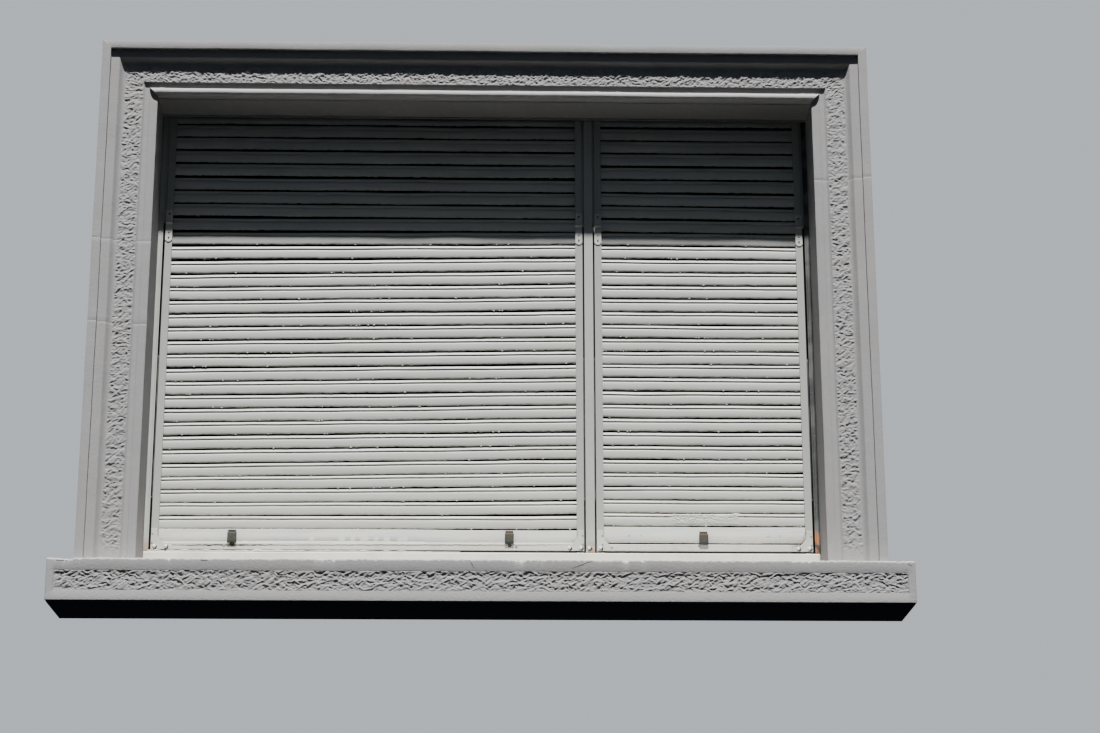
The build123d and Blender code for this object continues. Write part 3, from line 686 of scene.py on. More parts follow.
def shortening_copy(node, cuts=14):
    """A copy of a hanger, cut into bands and moved towards the street near its top to leave the barrel room."""
    start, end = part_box(node)
    work = bmesh.new()
    work.from_mesh(frame["nodes"][node].data)
    bmesh.ops.remove_doubles(work, verts=work.verts, dist=1e-6)
    bmesh.ops.dissolve_limit(work, angle_limit=math.radians(1), verts=work.verts, edges=work.edges)
    for cut in range(1, cuts):
        level = (0.0, 0.0, start.z + (end.z - start.z) * cut / cuts)
        geometry = work.verts[:] + work.edges[:] + work.faces[:]
        bmesh.ops.bisect_plane(work, geom=geometry, plane_co=level, plane_no=(0.0, 0.0, 1.0))
    for vertex in work.verts:
        vertex.co.y -= BARREL_ROOM * min(1.0, max(0.0, (vertex.co.z - end.z + 0.055) / 0.030))
    bmesh.ops.recalc_face_normals(work, faces=work.faces)
    mesh = bpy.data.meshes.new(f"{node}_painted")
    work.to_mesh(mesh)
    work.free()
    mesh.materials.clear()
    mesh.materials.append(material(finish_of(node)))
    piece = bpy.data.objects.new(f"{node}_painted", mesh)
    bpy.context.scene.collection.objects.link(piece)
    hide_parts(node)
    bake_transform(piece)
    return piece


def wander(x, y, z, length, height):
    """Slow random offset at a point."""
    return height * noise.noise(Vector((x, y, z)) / length)


def pecked(x, z, lean, along_rate, across_rate):
    """Height from 0 to 1 of the pecked stone, in short ridges that lean and cross."""
    sway = 0.6 * noise.noise(Vector((x * 52, z * 52, 9.2)))
    ridges = []
    for tilt, layer in ((lean, 2.3), (lean - 0.85, 7.9)):
        along = x * math.cos(tilt) + z * math.sin(tilt)
        across = z * math.cos(tilt) - x * math.sin(tilt)
        ridges.append(noise.noise(Vector((along * along_rate + sway, across * across_rate + sway, layer))))
    ridges[1] -= 0.10
    broad = noise.noise(Vector((x * 38, z * 55, 5.6)))
    fine = noise.noise(Vector((x * 270, z * 290, 6.1)))
    return min(1.0, max(0.0, 0.42 + 0.95 * max(ridges) + 0.22 * broad + 0.16 * fine))


def edge_fade(distance, reach, place):
    """From 0 at a ragged edge to 1 inside it."""
    ragged = distance - reach * (0.35 + 0.9 * noise.noise(Vector((place * 32, 0.4, 8.8))))
    return min(1.0, max(0.0, ragged / reach))


def trim_outline(sizes, return_back, swell=1.0, line=0.0):
    """Closed moulded section: u from the outer edge inwards, v back from the fillet."""
    wall = -TRIM_FRONT
    cove_start = sizes.fillet + sizes.band
    panel_start = cove_start + sizes.cove
    panel_end = panel_start + sizes.panel
    bead_start = panel_end + sizes.quirk
    bead = (sizes.trim - bead_start) / 2
    under = sizes.panel_depth + 0.003
    corners = [(0, wall), (0, 0), (sizes.fillet, 0), (sizes.fillet, sizes.band_depth)]
    corners += [(cove_start, sizes.band_depth)]
    rise = sizes.panel_depth - sizes.band_depth
    for share in (0.25, 0.5, 0.75):
        corners.append((cove_start + sizes.cove * share, sizes.band_depth + rise * math.sin(share * math.pi / 2)))
    corners += [(panel_start, sizes.panel_depth), (panel_start + 0.004, under), (panel_end - 0.004, under)]
    slant = 0.001 + 0.007 * (1 - swell)
    corners += [(panel_end, sizes.panel_depth), (panel_end + slant, sizes.quirk_depth)]
    eased = rounded(corners + [(bead_start, sizes.quirk_depth)], 0.0022, 2)
    for u, v in arc((bead_start + bead, 0.0), bead, 180, 360, 10):
        eased.append(Vector((u, sizes.quirk_depth + v * swell)))
    back = wall + return_back
    tail = [(sizes.trim, sizes.quirk_depth + 0.004)]
    if line:
        start = sizes.quirk_depth + 0.018
        tail += [(sizes.trim, start), (sizes.trim - line, start + 0.001), (sizes.trim - line, start + 0.005)]
        tail += [(sizes.trim, start + 0.006)]
    tail += [(sizes.trim, back), (sizes.trim - sizes.lining, back)]
    return eased + [Vector(p) for p in tail + [(sizes.trim - sizes.lining, wall)]]


def head_point(u, v, share):
    """Point on the head: share runs from -1 to 1 between the mitres."""
    return ((HALF_TRIM - u) * share, TRIM_FRONT + v, TRIM_TOP - u)


def jamb_point(side, u, v, share, foot):
    """Point on a jamb: level from the sill up, then leaning to the mitre at share 1."""
    level = SOFFIT - 0.03
    straight = (level - foot) / (TRIM_TOP - foot)
    if share <= straight:
        z = foot + (TRIM_TOP - foot) * share
    else:
        z = level + (TRIM_TOP - u - level) * (share - straight) / (1 - straight)
    return (side * (HALF_TRIM - u), TRIM_FRONT + v, z)


def worn_ring(outline, place, wave):
    """One ring of a swept moulding, slightly out of true."""
    ring = []
    for point in outline:
        x, y, z = place(point[0], point[1])
        ring.append(
            (
                x + wander(x, y, z, 0.21, wave * 0.6) + wander(z, y, x, 0.045, wave * 0.35),
                y + wander(z, x, y, 0.17, wave) + wander(y, z, x, 0.03, wave * 0.3),
                z + wander(y, x, z, 0.19, wave * 0.8) + wander(x, z, y, 0.04, wave * 0.35),
            )
        )
    return ring


def panel_slab(name, columns, rows, place, relief, nodes_replaced, fade, lean, rates):
    """Closed slab with a pecked face; place(a, b, depth) gives a point, a and b from 0 to 1."""
    vertices, pits = [], []
    for row in range(rows + 1):
        for column in range(columns + 1):
            a, b = column / columns, row / rows
            x, y, z = place(a, b, 0.0)
            rough = pecked(x, z, lean(a), *rates)
            strength = fade(a, b, x, z)
            vertices.append(place(a, b, relief * (0.60 - rough) * strength))
            # Strength of the painted shade in the hollows of the pecked face
            pits.append(max(0.0, 0.42 - rough) * 1.5 * strength)
    front = len(vertices)
    width = columns + 1
    faces = []
    for row in range(rows):
        for column in range(columns):
            first = row * width + column
            faces.append((first, first + 1, first + width + 1, first + width))
    border = list(range(width))
    border += [row * width + columns for row in range(1, rows + 1)]
    border += [rows * width + column for column in range(columns - 1, -1, -1)]
    border += [row * width for row in range(rows - 1, 0, -1)]
    for index in border:
        a, b = (index % width) / columns, (index // width) / rows
        vertices.append(place(a, b, relief * 0.9))
        pits.append(0.0)
    for index, here in enumerate(border):
        after = (index + 1) % len(border)
        faces.append((here, front + index, front + after, border[after]))
    faces.append(tuple(range(front, front + len(border))))
    piece = outward(mesh_piece(name, vertices, faces, "painted_stone", "root", {"pit_shade": pits}))
    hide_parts(*nodes_replaced)
    return piece


class SHUTTER_OT_surround(bpy.types.Operator):
    """Moulded stone head and jambs with their pecked panels."""

    bl_idname = "shutter.surround"
    bl_label = "Stone surround"

    def execute(self, context):
        sizes = context.scene.surround_look
        step = 0.012
        wave = 0.0012
        panel_start = sizes.fillet + sizes.band + sizes.cove
        top_outline = trim_outline(sizes, HEAD_BACK, line=0.003)
        count = round(2 * HALF_TRIM / step)
        rings = [
            worn_ring(top_outline, lambda u, v: head_point(u, v, 2 * index / count - 1), wave)
            for index in range(count + 1)
        ]
        # The head's bead is painted lighter: a painted highlight
        bead = [0.0 if p[0] < sizes.trim - 0.022 or p[1] > sizes.quirk_depth + 0.006 else 0.8 for p in top_outline]
        pale_and_highlight_values = bead * len(rings)
        head = outward(
            mesh_piece("surround_head_moulding", *loft(rings), "painted_stone", "root", {"pale": pale_and_highlight_values})
        )
        sharpen(head)
        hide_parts("surround_head")

        def across(b):
            return panel_start - 0.002 + (sizes.panel + 0.004) * b

        def panel_fade(a, b, x, z):
            inset = (sizes.panel + 0.004) * min(b, 1 - b)
            return edge_fade(inset + 0.0030, 0.006, x + z)

        rows = round(sizes.panel / sizes.cell)
        panel_slab(
            "surround_head_panel",
            round(2 * (HALF_TRIM - panel_start) / sizes.cell),
            rows,
            lambda a, b, d: head_point(across(b), sizes.panel_depth + d, 2 * a - 1),
            sizes.relief,
            ["surround_head"],
            panel_fade,
            lambda a: 0.55,
            (92.0, 170.0),
        )
        for side, name in ((-1, "left"), (1, "right")):
            foot = low(f"surround_{name}_jamb").z
            outline = trim_outline(sizes, FRAME_BACK, 0.2)
            count = round((TRIM_TOP - foot) / step)
            seams = [(height - foot) / (TRIM_TOP - foot) for height in JAMB_SEAMS[name]]
            shares = [(index / count, 0.0) for index in range(count + 1)]
            for seam in seams:
                shares = [pair for pair in shares if abs(pair[0] - seam) > 0.0035]
                shares += [(seam - 0.0013, 0.0), (seam - 0.0005, 1.0), (seam + 0.0005, 1.0), (seam + 0.0013, 0.0)]
            shares.sort()
            rings = [
                worn_ring(outline, lambda u, v: jamb_point(side, u, v + 0.0003 * sunk, share, foot), wave)
                for share, sunk in shares
            ]
            joints = [0.5 * sunk for _, sunk in shares for _ in outline]
            lofted = loft(rings)
            jamb = outward(
                mesh_piece(f"surround_{name}_moulding", *lofted, "painted_stone", "root", {"joint": joints})
            )
            sharpen(jamb)
            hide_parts(f"surround_{name}_jamb")

            def jamb_fade(a, b, x, z):
                return panel_fade(a, b, x, z) * edge_fade(z - foot - 0.01, 0.035, x)

            panel_slab(
                f"surround_{name}_panel",
                round((TRIM_TOP - foot) / sizes.cell),
                rows,
                lambda a, b, d: jamb_point(side, across(b), sizes.panel_depth + d, a, foot),
                sizes.relief * 0.85,
                [f"surround_{name}_jamb"],
                jamb_fade,
                lambda a: 0.66,
                (68.0, 142.0),
            )
        return {"FINISHED"}


class SHUTTER_OT_sill(bpy.types.Operator):
    """Stone sill with a chipped top edge and a pecked front panel."""

    bl_idname = "shutter.sill"
    bl_label = "Stone sill"

    def execute(self, context):
        sizes = context.scene.surround_look
        front, back = SILL_FRONT + 0.0008, high("sill").y
        slope = (high("sill").z - 0.127) / (back - front)
        top_front, top_back = 0.127, high("sill").z
        panel_low, panel_high = sizes.sill_panel_low, sizes.sill_panel_low + sizes.sill_panel_height
        inner = HALF_SILL - sizes.sill_margin
        stations = [-HALF_SILL, -HALF_SILL + 0.002, -inner, -inner + 0.0015]
        count = round(2 * inner / 0.0032)
        stations += [-inner + 2 * inner * index / count for index in range(1, count)]
        stations += [inner - 0.0015, inner, HALF_SILL - 0.002, HALF_SILL]
        rings, creams, pale_and_highlight_values = [], [], []
        for x in stations:
            sunk = sizes.sill_depth + 0.001 if abs(x) < inner - 0.001 else 0.0
            end = 0.002 if abs(x) > HALF_SILL - 0.001 else 0.0
            rough = noise.noise(Vector((x * 9, 0.3, 1.7))) + 0.6 * noise.noise(Vector((x * 41, 2.2, 0.1)))
            rough += 0.5 * noise.noise(Vector((x * 110, 5.2, 3.1))) + 0.4 * noise.noise(Vector((x * 240, 3.2, 8.1)))
            lip = wander(x, 2.9, 6.3, 0.016, 0.0018) + wander(x, 6.9, 2.3, 0.05, 0.0018)
            chip = max(0.0, rough - 0.34) * 0.013
            crumb = max(0.0, -0.26 - rough) * 0.0040
            droop = wander(x, 5.1, 0.9, 0.31, 0.002)
            corners = [
                (front + end, end),
                (front + end, panel_low),
                (front + end + sunk, panel_low + 0.001),
                (front + end + sunk, panel_high + lip - 0.001),
                (front + end, panel_high + lip),
                (front + end, top_front - 0.005 - end - chip),
                (front + end + 0.0008 + chip * 0.7, top_front - end - chip * 0.9 + crumb),
                (front + 0.03, top_front + slope * 0.03 + wander(x, 0.8, 3.3, 0.12, 0.0015)),
                (back, top_back),
                (back, 0.0),
                (front + 0.027, 0.0),
                (front + 0.027, 0.007),
                (front + 0.018, 0.007),
                (front + 0.018, 0.0),
            ]
            eased = rounded(corners, 0.0018, 2)
            ring = [(x, p[0], max(0.0, p[1] + (droop * 0.3 if p[1] > 0.01 else 0.0))) for p in eased]
            rings.append(ring)
            creams += [min(1.0, max(0.0, (z - panel_high) / (top_front - panel_high))) for _, y, z in ring]
            # Lighter on the sill's lower band and underside
            pale_and_highlight_values += [1.0 if z < panel_low - 0.004 else 0.0 for _, y, z in ring]
        body = outward(mesh_piece("sill_body", *loft(rings), "painted_stone", "root", {"cream": creams, "pale": pale_and_highlight_values}))
        sharpen(body)
        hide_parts("sill")

        def place(a, b, depth):
            x = -inner + 2 * inner * a
            z = panel_low + (panel_high - panel_low) * b
            return (x, front + 0.0022 - 0.0075 * max(0.0, b - 0.8) + depth, z)

        def fade(a, b, x, z):
            inset = min(z - panel_low, panel_high - z, inner - abs(x))
            return edge_fade(inset + 0.003, 0.006, x)

        panel_slab(
            "sill_panel",
            round(2 * inner / sizes.cell),
            round(sizes.sill_panel_height / sizes.cell),
            place,
            sizes.relief,
            ["sill"],
            fade,
            lambda a: 0.40,
            (64.0, 150.0),
        )
        return {"FINISHED"}


# Repeated pieces by Geometry Nodes


def laid_tree(name):
    """Tree that lays one blank on every point, warps and chips it, and gives it a material."""
    tree, entry, leave = group_with(
        "GeometryNodeTree",
        name,
        [
            ("Points", "NodeSocketGeometry", None),
            ("Blank", "NodeSocketObject", None),
            ("Warp", "NodeSocketFloat", 0.0),
            ("Chip", "NodeSocketFloat", 0.0),
            ("Crust", "NodeSocketFloat", 0.0),
            ("Seed", "NodeSocketInt", 0),
            ("Finish", "NodeSocketMaterial", None),
        ],
        [("Geometry", "NodeSocketGeometry")],
    )
    tree.is_modifier = True
    blank = add_node(tree, "GeometryNodeObjectInfo", {"Object": entry.outputs["Blank"]}, transform_space="ORIGINAL")
    turn = add_node(tree, "GeometryNodeInputNamedAttribute", {"Name": "turn"}, data_type="FLOAT_VECTOR")
    euler = add_node(tree, "FunctionNodeEulerToRotation", {0: turn.outputs[0]})
    size = add_node(tree, "GeometryNodeInputNamedAttribute", {"Name": "size"}, data_type="FLOAT")
    laid = add_node(
        tree,
        "GeometryNodeInstanceOnPoints",
        {
            "Points": entry.outputs["Points"],
            "Instance": blank.outputs["Geometry"],
            "Rotation": euler.outputs[0],
            "Scale": size.outputs[0],
        },
    )
    chance = add_node(
        tree, "FunctionNodeRandomValue", {"Seed": entry.outputs["Seed"]}, data_type="FLOAT"
    )
    shaded = add_node(
        tree,
        "GeometryNodeStoreNamedAttribute",
        {"Geometry": laid.outputs[0], "Name": "shade", "Value": chance.outputs[1]},
        data_type="FLOAT",
        domain="INSTANCE",
    )
    real = add_node(tree, "GeometryNodeRealizeInstances", {0: shaded.outputs[0]})
    shade = add_node(tree, "GeometryNodeInputNamedAttribute", {"Name": "shade"}, data_type="FLOAT")
    ragged = add_node(tree, "GeometryNodeInputNamedAttribute", {"Name": "ragged"}, data_type="FLOAT")
    position = add_node(tree, "GeometryNodeInputPosition")
    offset_seed = maths(tree, "MULTIPLY", shade.outputs[0], 40.0)
    wide = add_node(
        tree,
        "ShaderNodeTexNoise",
        {
            "Vector": add_node(
                tree, "ShaderNodeVectorMath", {0: position.outputs[0], 1: (3.1, 0.0, 0.0)}, operation="MULTIPLY"
            ).outputs[0],
            "W": offset_seed,
            "Scale": 1.0,
            "Detail": 3.0,
        },
        noise_dimensions="4D",
    )
    centred = add_node(
        tree, "ShaderNodeVectorMath", {0: wide.outputs["Color"], 1: (0.5, 0.5, 0.5)}, operation="SUBTRACT"
    )
    warp = add_node(
        tree,
        "ShaderNodeVectorMath",
        {0: centred.outputs[0], 3: maths(tree, "MULTIPLY", entry.outputs["Warp"], 2.0)},
        operation="SCALE",
    )
    still_ends = add_node(
        tree, "ShaderNodeVectorMath", {0: warp.outputs[0], 1: (0.0, 0.45, 2.2)}, operation="MULTIPLY"
    )
    moved = add_node(
        tree, "GeometryNodeSetPosition", {"Geometry": real.outputs[0], "Offset": still_ends.outputs[0]}
    )
    small = add_node(
        tree,
        "ShaderNodeTexNoise",
        {"Vector": position.outputs[0], "W": offset_seed, "Scale": 55.0, "Detail": 3.0, "Roughness": 0.65},
        noise_dimensions="4D",
    )
    bite = steps(tree, small.outputs[0], 0.48, 0.66)
    depth = maths(tree, "MULTIPLY", maths(tree, "MULTIPLY", bite, ragged.outputs[0]), entry.outputs["Chip"])
    grain = add_node(
        tree,
        "ShaderNodeTexNoise",
        {"Vector": position.outputs[0], "W": maths(tree, "ADD", offset_seed, 9.0), "Scale": 95.0, "Detail": 2.0},
        noise_dimensions="4D",
    )
    swell = maths(tree, "MULTIPLY", steps(tree, grain.outputs[0], 0.56, 0.70), ragged.outputs[0])
    paint = maths(tree, "MULTIPLY", swell, entry.outputs["Crust"])
    drop = maths(tree, "SUBTRACT", depth, maths(tree, "MULTIPLY", paint, 1.5))
    lifted = add_node(tree, "ShaderNodeCombineXYZ", {1: maths(tree, "MULTIPLY", paint, -1.0), 2: drop})
    chipped = add_node(
        tree, "GeometryNodeSetPosition", {"Geometry": moved.outputs[0], "Offset": lifted.outputs[0]}
    )
    finished = add_node(
        tree, "GeometryNodeSetMaterial", {"Geometry": chipped.outputs[0], "Material": entry.outputs["Finish"]}
    )
    tree.links.new(finished.outputs[0], leave.inputs[0])
    return tree


def lay_out(name, blank, places, turns, body, material_name, slot, replaced=(), sizes=None, **inputs):
    """Lay a blank on places with turns and sizes, as one plain mesh on one body."""
    tree = bpy.data.node_groups.get("laid_pieces") or laid_tree("laid_pieces")
    points = bpy.data.meshes.new(name)
    points.from_pydata([tuple(place) for place in places], [], [])
    layer = points.attributes.new("turn", "FLOAT_VECTOR", "POINT")
    layer.data.foreach_set("vector", [angle for turn in turns for angle in turn])
    scale = points.attributes.new("size", "FLOAT", "POINT")
    scale.data.foreach_set("value", sizes or [1.0] * len(places))
    piece = bpy.data.objects.new(name, points)
    bpy.context.scene.collection.objects.link(piece)
    modifier = piece.modifiers.new("laid", "NODES")
    modifier.node_group = tree
    values = {"Blank": blank, "Finish": material(material_name), **inputs}
    for item in tree.interface.items_tree:
        if item.in_out == "INPUT" and item.name in values:
            modifier[item.identifier] = values[item.name]
    graph = bpy.context.evaluated_depsgraph_get()
    mesh = bpy.data.meshes.new_from_object(
        piece.evaluated_get(graph), preserve_all_data_layers=True, depsgraph=graph
    )
    piece.modifiers.clear()
    piece.data = mesh
    mesh.name = name
    bpy.data.objects.remove(blank)
    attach(piece, body)
    if replaced:
        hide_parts(*replaced)
    return piece


def blank_from(name, vertices, faces, attributes=None, smooth=True):
    """A blank at the origin, to be laid by the tree."""
    mesh = bpy.data.meshes.new(name)
    mesh.from_pydata([tuple(vertex) for vertex in vertices], [], faces)
    for key, values in (attributes or {}).items():
        layer = mesh.attributes.new(key, "FLOAT", "POINT")
        layer.data.foreach_set("value", values)
    mesh.polygons.foreach_set("use_smooth", [smooth] * len(mesh.polygons))
    blank = bpy.data.objects.new(name, mesh)
    bpy.context.scene.collection.objects.link(blank)
    outward(blank)
    return blank


# Slats


def slat_section(sizes):
    """Section of a slat as (y, z, recess, ragged); recess is painted shade in the gap, groove and hollow."""
    face, deep, pitch = sizes.face, sizes.thickness, sizes.pitch
    lip = [(0.0028, 0.0, 0.5, 1.0), (0.0019, 0.0009, 0.0, 1.0), (0.0011, 0.0032, 0.0, 0.45)]
    crown = [(0.0006, 0.0075), (0.0003, 0.014), (0.0005, 0.021), (0.0011, face - 0.0025)]
    groove = [
        (0.0016, face - 0.0010, 0.0, 0.15),
        (0.0026, face - 0.0002, 0.1, 0.1),
        (0.0046, face + 0.0010, 0.3, 0.0),
        (0.0046, face + 0.0034, 0.3, 0.0),
        (0.0009, face + 0.0037, 0.15, 0.1),
    ]
    nose = [(0.0001, 0.0045), (0.0004, 0.0062), (0.0013, 0.0081), (0.0025, 0.0098), (0.0038, 0.0112)]
    tongue = [
        (0.0062, pitch - 0.0032, 0.9, 0.0),
        (0.0065, pitch - 0.0020, 1.0, 0.0),
        (0.0068, pitch + 0.0025, 1.0, 0.0),
        (0.0112, pitch + 0.0025, 1.0, 0.0),
        (0.0112, pitch - 0.0043, 1.0, 0.0),
    ]
    back = [
        (deep - 0.0006, pitch - 0.0060, 0.6, 0.0),
        (deep, pitch - 0.0075, 0.0, 0.0),
        (deep, 0.0012, 0.0, 0.0),
        (deep - 0.0008, 0.0, 0.5, 0.0),
    ]
    hollow = [(0.0124, 0.0, 1.0, 0.0), (0.0124, 0.0058, 1.0, 0.0), (0.0038, 0.0058, 1.0, 0.0)]
    front = [(y, z, 0.0, 0.0) for y, z in crown] + groove + [(y, face + z, 0.0, 0.05) for y, z in nose]
    return lip + front + tongue + back + hollow + [(0.0035, 0.0006, 1.0, 0.6)]


def slat_blank(name, section, length, step):
    """One straight slat about its own middle, at the origin."""
    count = max(2, round(length / step))
    rings, recess, ragged = [], [], []
    for index in range(count + 1):
        x = -length / 2 + length * index / count
        rings.append([(x, y, z) for y, z, _, _ in section])
        recess += [point[2] for point in section]
        ragged += [point[3] for point in section]
    vertices, faces = loft(rings)
    return blank_from(name, vertices, faces, {"recess": recess, "ragged": ragged})


def slat_tilt(sizes, side, index, lower_count):
    """Turn of a slat about Y, positive when its right end is up."""
    if side == "left":
        share = min((index + 1) / 4, (lower_count + 1 - index) / 4)
        return sizes.left_skew * max(0.0, min(1.0, share))
    middle = lower_count + 1
    share = min((index - middle) / 3 + 1, (middle - index) / 3 + 1)
    return sizes.right_skew * max(0.0, min(1.0, share))


def hang(side, index):
    """How far a slat hangs above or below its true place."""
    for (start, first), (end, last) in zip(HANG[side], HANG[side][1:]):
        if index <= end:
            return first + (last - first) * (index - start) / (end - start)
    return 0.0


class SHUTTER_OT_slats(bpy.types.Operator):
    """Warped and chipped wooden slats of both blinds."""

    bl_idname = "shutter.slats"
    bl_label = "Slats"

    def execute(self, context):
        sizes = context.scene.slat_look
        section = slat_section(sizes)
        for order, side in enumerate(BLINDS):
            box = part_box(f"{side}_bottom_slat")
            first = box[1].z - 0.0025
            length = box[1].x - box[0].x
            middle = (box[1].x + box[0].x) / 2
            lower_count = round((HINGE[2] - first) / sizes.pitch - 0.5) + 0
            top = high(f"{side}_upper_slats").z
            count = round((top - 0.0025 - first) / sizes.pitch)
            groups = (("lower", range(lower_count)), ("upper", range(lower_count, count)))
            for part, numbers in groups:
                places, turns = [], []
                for index in numbers:
                    tilt = slat_tilt(sizes, side, index, lower_count)
                    tilt += 0.0016 * noise.noise(Vector((index * 0.61, order * 2.7, 4.5)))
                    centre = first + (index + 0.5) * sizes.pitch + hang(side, index)
                    centre += 0.0020 * noise.noise(Vector((index * 0.73, order * 3.1, 0.5)))
                    drop = sizes.pitch / 2
                    places.append((middle - drop * math.sin(-tilt), box[0].y, centre - drop * math.cos(tilt)))
                    turns.append((0.0, -tilt, 0.0))
                lay_out(
                    f"{side}_{part}_slats_painted",
                    slat_blank(f"{side}_slat_blank", section, length, 0.0092),
                    places,
                    turns,
                    f"{side}_{part}_curtain",
                    "worn_slats",
                    "slat_paint",
                    [f"{side}_{part}_slats"],
                    Warp=sizes.wave,
                    Chip=sizes.chip,
                    Crust=sizes.crust,
                    Seed=sizes.seed + order * 11 + (part == "upper") * 5,
                )
        return {"FINISHED"}


class SHUTTER_OT_bottom_slats(bpy.types.Operator):
    """Plain bottom slats, warped, with a rebate over the bottom rail."""

    bl_idname = "shutter.bottom_slats"
    bl_label = "Bottom slats"

    def execute(self, context):
        sizes = context.scene.slat_look
        for side in BLINDS:
            node = f"{side}_bottom_slat"
            start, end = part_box(node)
            rise = max(0.0, hang(side, 0) - 0.0015)
            front, foot, height = start.y, start.z, end.z - start.z + rise
            # The rebate at the foot is painted as shade: fully on the right blind, faintly on the left
            notch, hollow = (0.0046, 1.0) if side == "right" else (0.0004, 0.15)
            top = height - 0.0055
            section = [
                (notch, 0.0, hollow, 0.0),
                (notch, 0.0052, hollow, 0.0),
                (0.0010, 0.0056, 0.3, 1.0),
                (0.0002, 0.0068, 0.0, 0.8),
                (0.0, height * 0.5, 0.0, 0.0),
                (0.0002, top - 0.0012, 0.0, 0.5),
                (0.0012, top - 0.0002, 0.0, 0.5),
                (0.0063, top, 1.0, 0.0),
                (0.0068, height, 1.0, 0.0),
                (0.0112, height, 1.0, 0.0),
                (0.0112, top, 1.0, 0.0),
                (sizes.thickness - 0.0006, top, 0.4, 0.0),
                (sizes.thickness, top - 0.001, 0.0, 0.0),
                (sizes.thickness, 0.001, 0.0, 0.0),
                (sizes.thickness - 0.0008, 0.0, 0.4, 0.0),
            ]
            count = round((end.x - start.x) / 0.006)
            rings, recess, ragged = [], [], []
            for index in range(count + 1):
                x = start.x + (end.x - start.x) * index / count
                for y, z, _, loose in section:
                    lift = loose * (wander(x, z, 4.1, 0.28, 0.0028) + wander(x, 7.7, z, 0.014, 0.0009))
                    lift -= max(0.0, z + lift - height)
                    rings.append((x, front + y, foot + max(0.0, z + lift)))
                recess += [point[2] for point in section]
                ragged += [0.5 * point[3] for point in section]
            width = len(section)
            lofted = loft([rings[i * width : (i + 1) * width] for i in range(count + 1)])
            attributes = {"recess": recess, "ragged": ragged}
            piece = outward(mesh_piece(f"{node}_painted", *lofted, "worn_bottom_slats", BODY_OF[node], attributes))
            sharpen(piece, 0.7)
            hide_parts(node)
        return {"FINISHED"}


# Frame pieces and fittings


def strip(name, lows, highs, material_name, body, ease=0.0012):
    """A straight strip with eased edges between two corners."""
    outline = rounded([(lows[0], lows[1]), (highs[0], lows[1]), (highs[0], highs[1]), (lows[0], highs[1])], ease, 2)
    rings = [[(x, y, z) for x, y in outline] for z in (lows[2], highs[2])]
    piece = outward(mesh_piece(name, *loft(rings), material_name, body))
    sharpen(piece)
    return piece


def turned_blank(name, profile, turns=14):
    """A turned head that faces the street; profile is (radius, height), from its middle out."""
    vertices = [(0.0, -profile[0][1], 0.0)]
    for radius, height in profile[1:]:
        angles = [math.tau * turn / turns for turn in range(turns)]
        vertices += [(radius * math.cos(a), -height, radius * math.sin(a)) for a in angles]
    faces = [(0, 1 + turn, 1 + (turn + 1) % turns) for turn in range(turns)]
    for ring in range(len(profile) - 2):
        low_ring, high_ring = 1 + ring * turns, 1 + (ring + 1) * turns
        for turn in range(turns):
            after = (turn + 1) % turns
            faces.append((low_ring + turn, high_ring + turn, high_ring + after, low_ring + after))
    last = 1 + (len(profile) - 2) * turns
    faces.append(tuple(last + turn for turn in range(turns)))
    return blank_from(name, vertices, faces)


def heads(name, kind, places, body, slot, material_name, sizes=None, replaced=()):
    """Bolt or screw heads of one kind at (x, y, z) places on one body."""
    profiles = {
        "dome": [(0, 0.0060), (0.0022, 0.0056), (0.0042, 0.0042), (0.0056, 0.0020), (0.0060, -0.0005)],
        "spot": [(0, 0.0002), (0.0024, 0.0002), (0.0034, 0.0001), (0.0038, -0.0004)],
        "screw": [(0, 0.0009), (0.0016, 0.0010), (0.0027, 0.0006), (0.0031, -0.0004)],
        "sunk": [(0, -0.0006), (0.0014, -0.0004), (0.0022, 0.0004), (0.0030, 0.0003), (0.0034, -0.0009)],
    }
    blank = turned_blank(f"{name}_blank", profiles[kind])
    turns = [(0.0, 0.7 * index, 0.0) for index in range(len(places))]
    return lay_out(name, blank, places, turns, body, material_name, slot, replaced, sizes)


